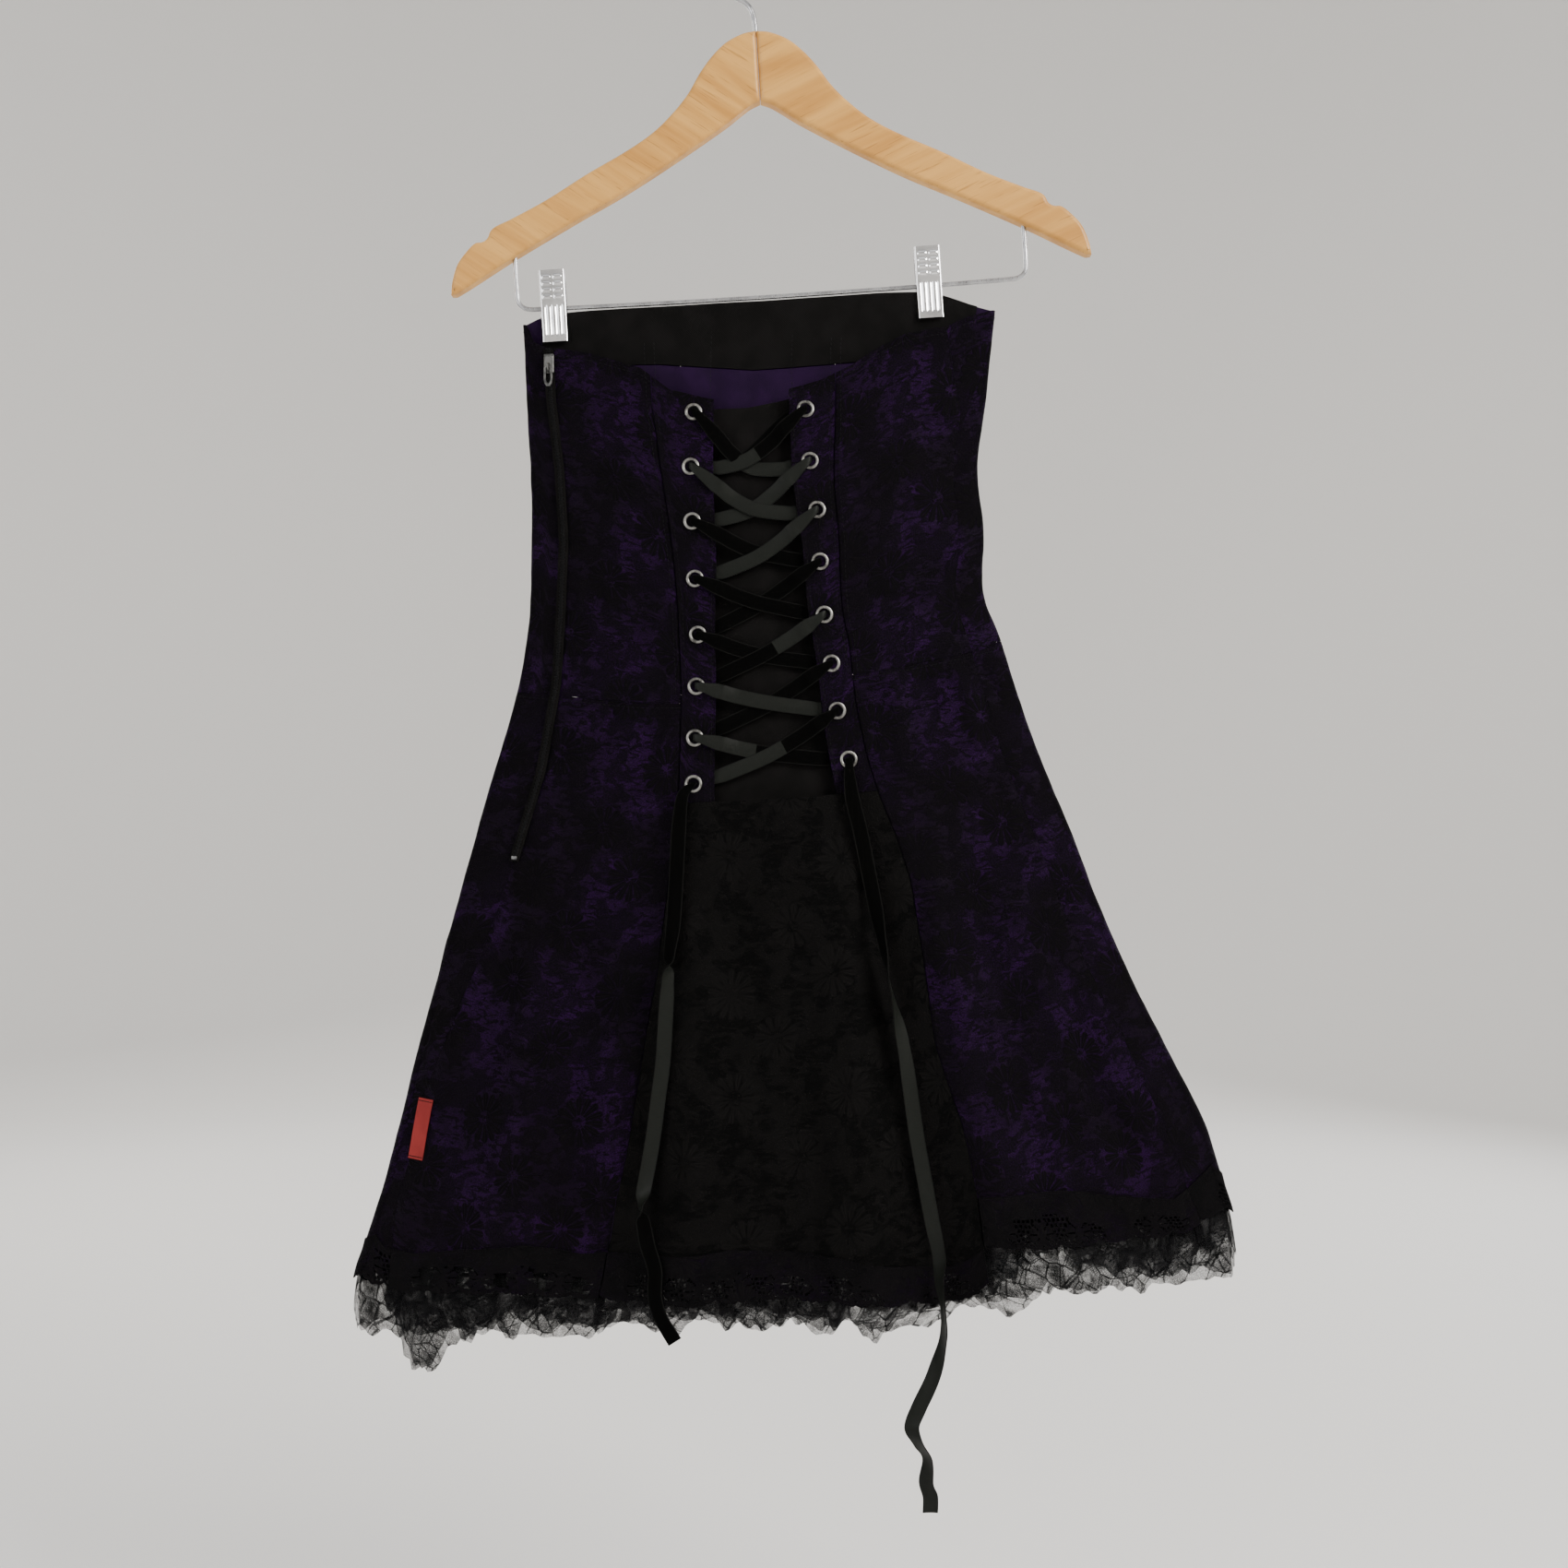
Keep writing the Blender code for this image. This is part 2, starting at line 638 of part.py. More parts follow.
def bodice():
    top = around(level_line(NECKLINE_BACK), level_line(TOP_FRONT, front=True))
    waist = around(level_line(WAIST_BACK), level(WAIST_ROW))
    foot = level_line(PLACKET_FOOT)
    seam_l = side_line(SIDE_SEAM_LEFT)
    seam_r = side_line(SIDE_SEAM_RIGHT)
    rib_l = side_line(CENTRE_SEAM_LEFT)
    rib_r = side_line(CENTRE_SEAM_RIGHT)
    edge_l = side_line(PLACKET_EDGE_LEFT)
    edge_r = side_line(PLACKET_EDGE_RIGHT)
    front_r = level(on_front(FRONT_SEAMS[1]))
    front_l = level(on_front(FRONT_SEAMS[0]))
    panel("bodice_back_left", "lace_cloth", seam_l, rib_l, top, waist, 8, 8)
    panel("bodice_back_right", "lace_cloth", rib_r, seam_r, top, waist, 8, 8)
    panel("bodice_front_right", "lace_cloth", seam_r, front_r, top, waist, 15, 8)
    panel("bodice_front_centre", "lace_cloth", front_r, front_l, top, waist, 9, 8)
    panel("bodice_front_left", "lace_cloth", front_l, turn_on(seam_l), top, waist, 15, 8)
    for side, left, right in (("left", rib_l, edge_l), ("right", edge_r, rib_r)):
        left = moved_along(left, PLACKET_CLEAR)
        right = moved_along(right, -PLACKET_CLEAR)
        placket = panel(f"placket_{side}", "lace_cloth", left, right, top, foot, 3, 12, wall=PLACKET_WALL)
        rods = []
        for place in eyelet_places(side):
            rods.append((lifted(*place, 0.0), outward(*place), EYELET_HOLE, 8.0, EYELET_SIDES))
        cut(placket, cutter(f"holes_{side}", rods))
    panel(
        "modesty_panel", "black_cloth", moved_along(edge_l, -MODESTY_LAP), moved_along(edge_r, MODESTY_LAP),
        moved_down(top, MODESTY_DROP), foot, 3, 9, wall=MODESTY_WALL,
        lift=lambda a, b, t: -MODESTY_DEPTH,
    )
    facing = around(level_line(NECKLINE_BACK), level_line(FACING_FOOT, front=True))

    def inside(ease):
        return lambda a, b, t: -(0.5 * WALL + SEAM_GAP + 0.5 * FACING_WALL + ease)

    left, right = (level(on_front(place)) for place in FACING_SIDES)
    panel("front_facing", "black_cloth", right, left, top, facing, 16, 2, wall=FACING_WALL, lift=inside(0.0))
    left, right = (level(on_front(place)) for place in LINING_SIDES)
    panel(
        "front_lining", "lining", right, left, moved_down(facing, 2.0 * SEAM_GAP),
        moved_down(waist, -LINING_OVERLAP), 11, 6, wall=FACING_WALL, lift=inside(LINING_EASE),
    )


def eyelet_places(side):
    return [place_of(x, z) for x, z in EYELETS[side]]


def skirt():
    waist = around(level_line(WAIST_BACK), level(WAIST_ROW))
    foot = level_line(PLACKET_FOOT)
    seam_l = side_line(SIDE_SEAM_LEFT)
    seam_r = side_line(SIDE_SEAM_RIGHT)
    inset_l = side_line(CENTRE_SEAM_LEFT)
    inset_r = side_line(CENTRE_SEAM_RIGHT)
    front_r = level(on_front(FRONT_SEAMS[1]))
    front_l = level(on_front(FRONT_SEAMS[0]))
    hem_l = around(level_line(HEM_BACK_LEFT), level(HEM_ROW))
    hem_r = around(level_line(HEM_BACK_RIGHT), level(HEM_ROW))
    hem_inset = level_line(HEM_INSET)
    hem_front = level(HEM_ROW)
    low = around(level_line(TULLE_LOW), moved_down(hem_front, TULLE_FRONT_DROP))
    Piece = namedtuple("Piece", "name kind left right top hem across down lace waves")
    pieces = (
        Piece("back_left", "lace_cloth", seam_l, inset_l, waist, hem_l, 8, 10, 16, 6),
        Piece(
            "inset", "black_lace", moved_along(inset_l, INSET_CLEAR), moved_along(inset_r, -INSET_CLEAR),
            foot, hem_inset, 14, 10, 28, 10,
        ),
        Piece("back_right", "lace_cloth", inset_r, seam_r, waist, hem_r, 8, 10, 16, 6),
        Piece("front_right", "lace_cloth", seam_r, front_r, waist, hem_r, 15, 10, 30, 8),
        Piece("front_centre", "lace_cloth", front_r, front_l, waist, hem_front, 9, 10, 18, 8),
        Piece("front_left", "lace_cloth", front_l, turn_on(seam_l), waist, hem_l, 15, 10, 30, 8),
    )
    for piece in pieces:
        lining_hem = moved_down(piece.hem, -HEM_BAND)
        below = moved_down(piece.hem, HEM_CLEAR - HEM_BAND)
        edges = (piece.left, piece.right)
        panel(f"skirt_{piece.name}", piece.kind, *edges, piece.top, lining_hem, piece.across, piece.down)
        panel(
            f"hem_lace_{piece.name}", "black_lace", *edges, below, piece.hem, piece.lace, 3,
            wall=LACE_WALL, lift=lace_lift, drop=scallops(piece.lace), gaps=openwork,
        )
        panel(
            f"tulle_{piece.name}", "tulle",
            moved_along(piece.left, TULLE_CLEAR), moved_along(piece.right, -TULLE_CLEAR),
            moved_down(below, 2.0 * TULLE_CLEAR), low, piece.waves * TULLE_COLUMNS, 2,
            wall=TULLE_WALL, lift=gathers(piece.waves),
        )


def lace_lift(a, b, t):
    return 0.5 * (LACE_WALL + LAYER_GAP)


def scallops(columns):
    """Points of the lace edge, a long and a short one in turn."""
    def drop(a, b):
        long = round(a * columns) % 2 == 0
        return (SCALLOP if long else -SCALLOP) * max(0.0, 2.0 * b - 1.0)
    return drop


def openwork(bm, across, down):
    """Open every second cell of the middle row."""
    cells = []
    for face in bm.faces:
        index = face.index
        row = index // across
        if row == 1 and (index % across) % 2 == 0 and face.calc_area() > LEAST_GAP:
            cells.append(face)
    bmesh.ops.delete(bm, geom=cells, context="FACES")


def gathers(waves):
    """The tulle's waves, from flat at its seam to deep at its edge, shallow in the side folds."""
    def lift(a, b, t):
        from_fold = min(abs(t % ROUND - fold) for fold in (0.0, 1.0, FRONT_START, FRONT_END, ROUND))
        room = 0.3 if in_cap(t) else min(1.0, 0.3 + 6.0 * from_fold)
        wave = 0.5 - 0.5 * math.cos(2.0 * math.pi * waves * a)
        return -0.5 * TULLE_WALL - LAYER_GAP - room * (2.0 * b + TULLE_DEPTH * wave * b ** 0.7)
    return lift


# Eyelets and ribbon

def surface_frame(t, v, lift):
    """Place on the cloth with X to the right along it, Y into it and Z up it, in metres."""
    out = outward(t, v)
    side = (cloth(t + 0.004, v) - cloth(t - 0.004, v)).normalized()
    up = side.cross(-out).normalized()
    turn = Matrix((side, -out, up)).transposed().to_4x4()
    return Matrix.Translation(lifted(t, v, lift) * MM) @ turn


def turned_ring(name, kind, profile, sides, matrix):
    """A closed profile of radius and height, turned about the way out of the cloth."""
    bm = bmesh.new()
    verts = [bm.verts.new((radius, 0.0, height)) for radius, height in profile]
    for a, b in zip(verts, verts[1:] + verts[:1]):
        bm.edges.new((a, b))
    obj = finish_mesh(bm, name, kind)
    turn = obj.modifiers.new("turn", "SCREW")
    turn.axis = "Z"
    turn.steps = sides
    turn.render_steps = sides
    turn.use_merge_vertices = True
    turn.merge_threshold = 0.00001
    obj.matrix_world = matrix @ Matrix.Rotation(math.radians(90), 4, "X")
    smooth(obj, 40)
    return obj


def eyelets():
    low = -0.5 * PLACKET_WALL - 0.4
    seat = 0.5 * PLACKET_WALL + SEAM_GAP
    profile = (
        (EYELET_BORE, low),
        (EYELET_BORE, seat + 0.7),
        (EYELET_RIM, seat + 0.3),
        (EYELET_BARREL, seat),
        (EYELET_BARREL, low),
    )
    for side in EYELETS:
        for number, place in enumerate(eyelet_places(side), start=1):
            frame = surface_frame(*place, 0.0)
            turned_ring(f"eyelet_{side}_{number}", "nickel", profile, EYELET_SIDES, frame)


def ribbon_way(start, end, edges, over):
    """Stations of one crossing, from behind one eyelet to behind the next on the other side."""
    heading = 1.0 if end[0] > start[0] else -1.0

    def at(s):
        return start[0] + (end[0] - start[0]) * s, start[1] + (end[1] - start[1]) * s

    def on_edge(line):
        for step in range(101):
            t, v = at(step / 100)
            if (t - line(v)) * heading > 0:
                return step / 100
        return 1.0

    leave, arrive = on_edge(edges[0]), on_edge(edges[1])
    middle = OVER_PANEL if over else UNDER_STRAND
    full = RIBBON_WIDTH
    plan = (
        (0.0, -1.5, EYELET_WIDTH), (0.0, 2.7, EYELET_WIDTH), (0.06, 3.3, 6.5), (0.6 * leave + 0.03, 2.4, 9.0),
        (leave, 2.0, full), (leave + 0.05, 1.7, full), (leave + 0.14, -2.2, full), (0.5, middle, full),
        (arrive - 0.08, -3.6, full), (arrive, -3.5, 9.0), (0.5 * (arrive + 0.94), -3.4, 7.5),
        (0.94, -3.3, 5.5), (1.0, -2.8, EYELET_WIDTH),
    )
    stations = []
    travel = cloth(*end) - cloth(*start)
    for s, lift, width in plan:
        t, v = at(s)
        side = outward(t, v).cross(travel)
        if side.z < 0:
            side = -side
        if s in (0.0, 1.0):
            side = Vector((0, 0, 1))
        stations.append((lifted(t, v, lift), side, width))
    return stations


def lacing():
    """The laced ribbon, one strip: up one strand, through the slack loop, down the other."""
    left, right = eyelet_places("left"), eyelet_places("right")
    edge_l, edge_r = side_line(PLACKET_EDGE_LEFT), side_line(PLACKET_EDGE_RIGHT)
    strands = []
    for first_on_left in (False, True):
        stations = []
        on_left = first_on_left
        for i in range(len(left) - 1):
            start, end = (left[i], right[i + 1]) if on_left else (right[i], left[i + 1])
            edges = (edge_l, edge_r) if on_left else (edge_r, edge_l)
            stations += ribbon_way(start, end, edges, over=not first_on_left)
            on_left = not on_left
        strands.append(stations)
    loop = []
    for k, (x, z, lift, width) in enumerate(SLACK_LOOP):
        t, v = place_of(x, z)
        before, after = SLACK_LOOP[max(k - 1, 0)], SLACK_LOOP[min(k + 1, len(SLACK_LOOP) - 1)]
        travel = Vector((after[0] - before[0], 0.0, after[1] - before[1]))
        side = outward(t, v).cross(travel)
        if side.z < 0:
            side = -side
        loop.append((lifted(t, v, lift), side, width))
    whole = list(reversed(strands[0])) + list(reversed(loop)) + strands[1]
    strip("lacing", "ribbon", whole, RIBBON_WALL)


def true_place(x, z, y):
    """The point at depth y that the eye sees at x, z."""
    nearer = (EYE_DISTANCE + y) / EYE_DISTANCE
    return Vector((EYE_X + (x - EYE_X) * nearer, y, EYE_Z + (z - EYE_Z) * nearer))


def tail(name, start, bends):
    """A free end of the ribbon: out of the last eyelet, down the skirt and free below it."""
    t, v = start
    stations = [
        (lifted(t, v, -2.0), Vector((1, 0, 0)), EYELET_WIDTH),
        (lifted(t, v, 2.7), Vector((1, 0, 0)), EYELET_WIDTH),
    ]
    places = []
    for bend in bends:
        stand = TAIL_STAND + 0.5 * RIBBON_WIDTH * abs(math.sin(math.radians(bend.turn)))
        place = lifted(*place_of(bend.x, max(bend.z, TAIL_FREE)), stand)
        if bend.z < TAIL_FREE:
            place = true_place(bend.x, bend.z, min(place.y, places[-1].y))
        places.append(place)
    places[0] = lifted(*place_of(bends[0].x, bends[0].z), 3.3)
    for k, (place, bend) in enumerate(zip(places, bends)):
        travel = places[min(k + 1, len(places) - 1)] - places[max(k - 1, 0)]
        flat = travel.cross(Vector((0, -1, 0))).normalized()
        if flat.x < 0:
            flat = -flat
        turn = Matrix.Rotation(math.radians(bend.turn), 3, travel.normalized())
        stations.append((place, turn @ flat, bend.width))
    strip(name, "ribbon", stations, RIBBON_WALL)


def ribbon_tails():
    tail("tail_left", eyelet_places("left")[-1], TAIL_LEFT)
    tail("tail_right", eyelet_places("right")[-1], TAIL_RIGHT)


# Zip and label

def zip_parts():
    seam = side_line(SIDE_SEAM_LEFT)
    seam_x = [(z, x) for x, z in SIDE_SEAM_LEFT]
    stations = []
    for k in range(ZIP_STEPS + 1):
        z = ZIP_TOP + (ZIP_FOOT - ZIP_TOP) * k / ZIP_STEPS
        t, v = place_of(line_value(seam_x, z), z)
        side = cloth(t + 0.01, v) - cloth(t - 0.01, v)
        stations.append((lifted(seam(v), v, ZIP_LIFT), side, ZIP_TAPE_WIDTH))
    strip("zip_tape", "black_cloth", stations, ZIP_TAPE_WALL)

    def on_zip(z, lift):
        return surface_frame(*place_of(line_value(seam_x, z), z), lift)

    tape_face = ZIP_LIFT + 0.5 * ZIP_TAPE_WALL + SEAM_GAP
    frame = on_zip(PULL_PIVOT_Z, tape_face + SLIDER_THICK)
    centre = Matrix.Translation((0.0, 0.5 * SLIDER_THICK * MM, SLIDER_RISE * MM))
    body = block("zip_slider", "nickel", SLIDER_SIZE, frame @ centre, 0.6)
    union = body.modifiers.new("arch", "BOOLEAN")
    union.operation = "UNION"
    union.solver = "EXACT"
    union.object = slider_arch(frame)
    pull = outline_curve("zip_pull", (PULL_OUTLINE, PULL_WINDOW), PULL_THICK, 0.3)
    hung = Matrix.Translation((0.0, -PIVOT_LIFT * MM, 0.0))
    pull.matrix_world = frame @ hung @ pull.matrix_basis.to_3x3().to_4x4()
    as_mesh(pull, "nickel")
    stop = on_zip(ZIP_FOOT + STOP_SIZE[2], tape_face + 0.5 * STOP_SIZE[1])
    block("zip_stop", "nickel", STOP_SIZE, stop, 0.3)


def slider_arch(frame):
    """The wire loop that holds the pull, joined to the slider's body."""
    points = []
    for k in range(-1, 10):
        angle = math.radians(22.5 * k)
        points.append((0.0, -ARCH_RADIUS * math.sin(angle), ARCH_RADIUS * math.cos(angle)))
    arch = as_mesh(wire("slider_arch", points, ARCH_WIRE), "nickel")
    PARTS.objects.unlink(arch)
    CUTTERS.objects.link(arch)
    arch.hide_render = True
    arch.display_type = "WIRE"
    arch.matrix_world = frame
    return arch


def block(name, kind, size, matrix, bevel):
    bm = bmesh.new()
    bmesh.ops.create_cube(bm, size=1.0)
    bmesh.ops.scale(bm, vec=Vector(size), verts=bm.verts)
    obj = finish_mesh(bm, name, kind)
    obj.matrix_world = matrix
    rim = obj.modifiers.new("rim", "BEVEL")
    rim.width = bevel * MM
    rim.segments = 1
    return obj


def label():
    (top_x, top_z), (low_x, low_z) = LABEL_LINE
    stations = []
    for k in range(4):
        s = k / 3
        t, v = place_of(top_x + (low_x - top_x) * s, top_z + (low_z - top_z) * s)
        side = cloth(t + 0.01, v) - cloth(t - 0.01, v)
        stations.append((lifted(t, v, LABEL_LIFT), side, LABEL_WIDTH))
    strip("side_label", "red_tape", stations, LABEL_WALL)


# Hanger

def lean():
    return Matrix.Rotation(-HANGER_LEAN, 4, "Y")


def hanger():
    for name, way in (("left", -1.0), ("right", 1.0)):
        loop = [(way * x, z) for x, z in ARM_OUTLINE]
        if way < 0:
            loop.reverse()
        arm = outline_curve(f"hanger_arm_{name}", (loop,), HANGER_THICK, 2.5, 1)
        arm = as_mesh(arm, "wood")
        rods = (
            (Vector((0, 0, -81)), Vector((0, 0, 1)), HOOK_WIRE + BORE_EASE, 30.0, 12),
            (Vector((way * BAR_X, 0, -218)), Vector((0, 0, 1)), BAR_WIRE + BORE_EASE, 24.0, 12),
        )
        cut(arm, cutter(f"bores_{name}", rods))
        hang(arm)
        hang(arm.modifiers["cut"].object)
    points = [(x, 0.0, z) for x, z in HOOK_STEM]
    centre_z = HOOK_WIRE - HOOK_RADIUS
    for k in range(HOOK_STEPS):
        angle = math.radians(HOOK_START - HOOK_STEP * k)
        points.append((HOOK_RADIUS * math.cos(angle), 0.0, centre_z + HOOK_RADIUS * math.sin(angle)))
    hang(as_mesh(wire("hanger_hook", points, HOOK_WIRE), "chrome"))
    half = [(x, 0.0, z) for x, z in BAR_HALF]
    points = [(-x, y, z) for x, y, z in half] + [(x, y, z) for x, y, z in reversed(half[:-1])]
    hang(as_mesh(wire("hanger_bar", points, BAR_WIRE), "chrome"))
    for name, x in CLIP_XS.items():
        for jaw, profile in (("front", CLIP_FRONT), ("back", CLIP_BACK)):
            clip = outline_curve(f"clip_{name}_{jaw}", (profile,), CLIP_WIDTH)
            clip.matrix_world = Matrix(((0, 0, 1, x * MM), (1, 0, 0, 0), (0, 1, 0, 0), (0, 0, 0, 1)))
            hang(as_mesh(clip, "chrome"))


def hang(obj):
    """Turn a piece about the hook with the hanger's lean."""
    obj.matrix_world = lean() @ obj.matrix_world


clear_scene()
PARTS = collection("back_laced_dress_on_hanger")
CUTTERS = collection("cutters")
bodice()
skirt()
eyelets()
lacing()
ribbon_tails()
zip_parts()
label()
hanger()
bpy.context.view_layer.update()
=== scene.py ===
"""How the back-laced mini dress on its clip hanger looks.

Lengths in the tables are millimetres, in the same frame as the solids: +Z is up, the laced back faces -Y,
and the origin is the inner top of the hanger's hook.
"""

import json
import math
from collections import namedtuple

import bpy
from mathutils import Matrix, Vector, noise

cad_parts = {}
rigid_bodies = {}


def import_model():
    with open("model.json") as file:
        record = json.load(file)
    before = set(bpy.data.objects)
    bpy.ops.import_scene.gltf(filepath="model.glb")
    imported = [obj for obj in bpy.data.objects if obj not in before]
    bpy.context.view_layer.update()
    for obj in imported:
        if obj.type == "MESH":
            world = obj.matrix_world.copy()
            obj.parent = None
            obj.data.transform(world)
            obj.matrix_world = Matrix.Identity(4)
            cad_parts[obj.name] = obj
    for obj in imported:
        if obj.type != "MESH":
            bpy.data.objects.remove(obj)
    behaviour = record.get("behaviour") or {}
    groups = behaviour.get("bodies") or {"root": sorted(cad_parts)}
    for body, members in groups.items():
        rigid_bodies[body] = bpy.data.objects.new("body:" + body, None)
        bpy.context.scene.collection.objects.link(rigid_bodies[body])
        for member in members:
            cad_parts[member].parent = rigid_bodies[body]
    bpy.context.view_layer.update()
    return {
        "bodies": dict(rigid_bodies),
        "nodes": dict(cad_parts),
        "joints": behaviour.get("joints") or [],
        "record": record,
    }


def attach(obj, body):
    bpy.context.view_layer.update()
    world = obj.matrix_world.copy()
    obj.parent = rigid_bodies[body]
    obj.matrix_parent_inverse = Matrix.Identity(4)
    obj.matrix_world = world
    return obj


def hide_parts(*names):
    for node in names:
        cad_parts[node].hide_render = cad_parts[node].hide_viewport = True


MM = 0.001
SEAM_GAP = 0.3
BODY = "dress"

# Where the eye stands that read the sizes
EYE_X = 24.0
EYE_Z = -593.0
EYE_DISTANCE = 1100.0
PHOTO_WIDTH = 1093.0

# Cloth
WALL = 1.4
PLACKET_WALL = 2.0
PLACKET_CLEAR = 0.45
MODESTY_WALL = 1.0
MODESTY_DEPTH = 7.6
MODESTY_LAP = 10.0
MODESTY_DROP = 4.0
FACING_WALL = 0.9
LINING_OVERLAP = 4.0
INSET_CLEAR = 0.45
LACE_WALL = 0.7
HEM_BAND = 24.0
LAYER_GAP = 0.5
HEM_CLEAR = 1.0
TULLE_FRONT_DROP = 34.0
TULLE_DEPTH = 6.5

# Ribbon
RIBBON_WALL = 0.7
RIBBON_WIDTH = 10.0

# Cells of the fine cloth
FINE_CELL = 3.0
PLAIN_CELL = 4.5
LACE_CELL = 1.1
TULLE_CELL = 2.6
TULLE_LAP = 3.0

# Hanger
HANGER_LEAN = math.radians(3.64)
HANGER_THICK = 12.0
HOOK_WIRE = 1.7
HOOK_RADIUS = 24.5
HOOK_START = 236.0
HOOK_SWEEP = 266.0
BAR_WIRE = 1.6
CLIP_WIDTH = 17.0
CLIP_FLANGE = 1.6
CLIP_XS = {"left": -152.5, "right": 109.0}
FLOOR_Z = -1.32

# Stitches: how far apart, and the rows between which each seam has them
STITCH_PITCH = 3.4
RIB_STITCH_ROWS = (1.3, 6.0)
EDGE_STITCH_ROWS = (1.25, 7.15)
ROUND_STEPS = 2600

# Edge of the lace border
SCALLOP_PITCH = 27.5
SCALLOP_DEPTH = 3.2
LOOP_PITCH = 5.5
LOOP_DEPTH = 1.0

Row = namedtuple("Row", "left_x left_z right_x right_z sag back front fold")
ROWS = (
    Row(-160, -243, 173, -233, 0, 1, 0, 2.2),
    Row(-157, -273, 170, -263, 0, 2, 0, 2.2),
    Row(-154, -329, 164, -323, 2, 10, 3, 2.4),
    Row(-151, -387, 158, -371, 5, 16, 8, 2.6),
    Row(-151, -438, 162, -416, 8, 19, 11, 2.8),
    Row(-153, -483, 162, -461, 11, 20, 13, 3.0),
    Row(-161, -531, 174, -494, 13, 21, 14, 3.2),
    Row(-179, -593, 196, -561, 15, 25, 18, 3.6),
    Row(-197, -657, 222, -625, 17, 31, 24, 4.2),
    Row(-214, -721, 251, -699, 19, 37, 30, 4.8),
    Row(-231, -786, 282, -763, 21, 43, 35, 5.4),
    Row(-247, -850, 313, -824, 23, 48, 40, 6.0),
    Row(-263, -903, 327, -866, 25, 51, 44, 6.5),
    Row(-274, -937, 335, -892, 26, 53, 46, 6.8),
    Row(-278, -979, 342, -934, 26, 54, 47, 7.0),
    Row(-282, -1021, 349, -976, 26, 55, 48, 7.2),
)
WAIST_ROW = 6.0
HEM_ROW = 13.0
LAST_ROW = len(ROWS) - 1
CAP = 0.10
FRONT_START = 1.0 + CAP
FRONT_END = 2.0 + CAP
ROUND = 2.0 + 2.0 * CAP

# Places across the front layer, 0 at its left: the two seams of its middle panel, and its inner cloth's sides
FRONT_SEAMS = (0.33, 0.67)
FACING_SIDES = (0.03, 0.97)
LINING_SIDES = (0.05, 0.95)

# Soft upright folds of the skirt: place across the layer, half width, height out of the layer.
# They start at the waist and reach their full height at the hem.
Fold = namedtuple("Fold", "place width height")
BACK_FOLDS = (
    Fold(0.13, 0.050, 7),
    Fold(0.27, 0.055, -8),
    Fold(0.38, 0.050, 9),
    Fold(0.485, 0.035, -9),
    Fold(0.575, 0.045, 8),
    Fold(0.665, 0.035, -8),
    Fold(0.76, 0.050, 8),
    Fold(0.88, 0.045, -6),
)
FRONT_FOLDS = (
    Fold(0.12, 0.050, 6),
    Fold(0.24, 0.045, -7),
    Fold(0.36, 0.055, 10),
    Fold(0.50, 0.060, -9),
    Fold(0.64, 0.055, 10),
    Fold(0.77, 0.045, -7),
    Fold(0.88, 0.050, 6),
)

# Lines on the dress, as x and z in the plane y = 0
NECKLINE_BACK = (
    (-158, -273), (-150, -285), (-141, -289), (-127, -290.5), (-111, -293), (-76, -303), (-56, -318),
    (-26, -325), (-2, -324), (23, -319), (48, -312), (73, -300), (87, -290), (109, -279), (128, -275.5),
    (138, -274), (150, -268), (170, -263),
)
TOP_FRONT = (
    (-158, -273), (-146, -268.5), (-127, -265), (-111, -263.5), (-59, -260.5), (12, -256.5),
    (57, -253.5), (95, -251), (121, -250.5), (135, -253), (153, -259), (170, -263),
)
FACING_FOOT = ((-158, -303), (-64, -301), (3, -305), (68, -300), (121, -296), (170, -297))
SIDE_SEAM_LEFT = (
    (-141, -270), (-138, -325), (-132, -375), (-129, -424), (-131, -474), (-134, -523),
    (-145, -585), (-163, -645), (-197, -738), (-226, -811), (-244, -882), (-251, -937), (-255, -985),
)
SIDE_SEAM_RIGHT = (
    (134, -262), (147, -335), (145, -432), (154, -498), (179, -580), (217, -676), (256, -760),
    (291, -837), (311, -889), (322, -940),
)
CENTRE_SEAM_LEFT = (
    (-70, -290), (-68, -330), (-58, -400), (-50, -474), (-49, -585), (-50, -606), (-60, -689),
    (-76, -786), (-93, -882), (-104, -946), (-110, -990),
)
CENTRE_SEAM_RIGHT = (
    (60, -290), (60, -345), (63, -437), (69, -490), (74, -535), (82, -573), (91, -601), (103, -630),
    (113, -662), (121, -711), (130, -775), (148, -828), (156, -864), (166, -930), (170, -960), (173, -990),
)
PLACKET_EDGE_LEFT = ((-24, -300), (-24, -610), (-24, -640))
PLACKET_EDGE_RIGHT = ((26, -300), (37, -435), (43, -488), (51, -550), (60, -600), (64, -640))
WAIST_BACK = (
    (-165, -529), (-125, -532), (-76, -537), (-51, -537), (20, -530), (73, -517), (122, -508),
    (167, -498), (180, -494),
)
PLACKET_FOOT = ((-60, -607), (-24, -605), (20, -603), (60, -600), (95, -597))
HEM_BACK_LEFT = (
    (-276, -933), (-262, -940), (-240, -945), (-209, -946), (-166, -946), (-123, -950), (-85, -951),
)
HEM_INSET = (
    (-120, -950), (-85, -952), (-54, -956), (-19, -953), (66, -954), (140, -953), (155, -948), (175, -936),
)
HEM_BACK_RIGHT = ((150, -916), (172, -914), (249, -911), (301, -905), (335, -887))

# Lowest points of the tulle's waves at the back
TULLE_LOW = (
    (-262, -938), (-250, -968), (-238, -1009), (-226, -1004), (-211, -984), (-180, -977), (-148, -966),
    (-125, -974), (-98, -967), (-40, -968), (10, -972), (28, -968), (55, -980), (69, -975), (89, -984),
    (110, -974), (131, -969), (159, -955), (186, -934), (204, -922), (246, -928), (262, -941),
    (280, -937), (302, -931), (326, -914),
)

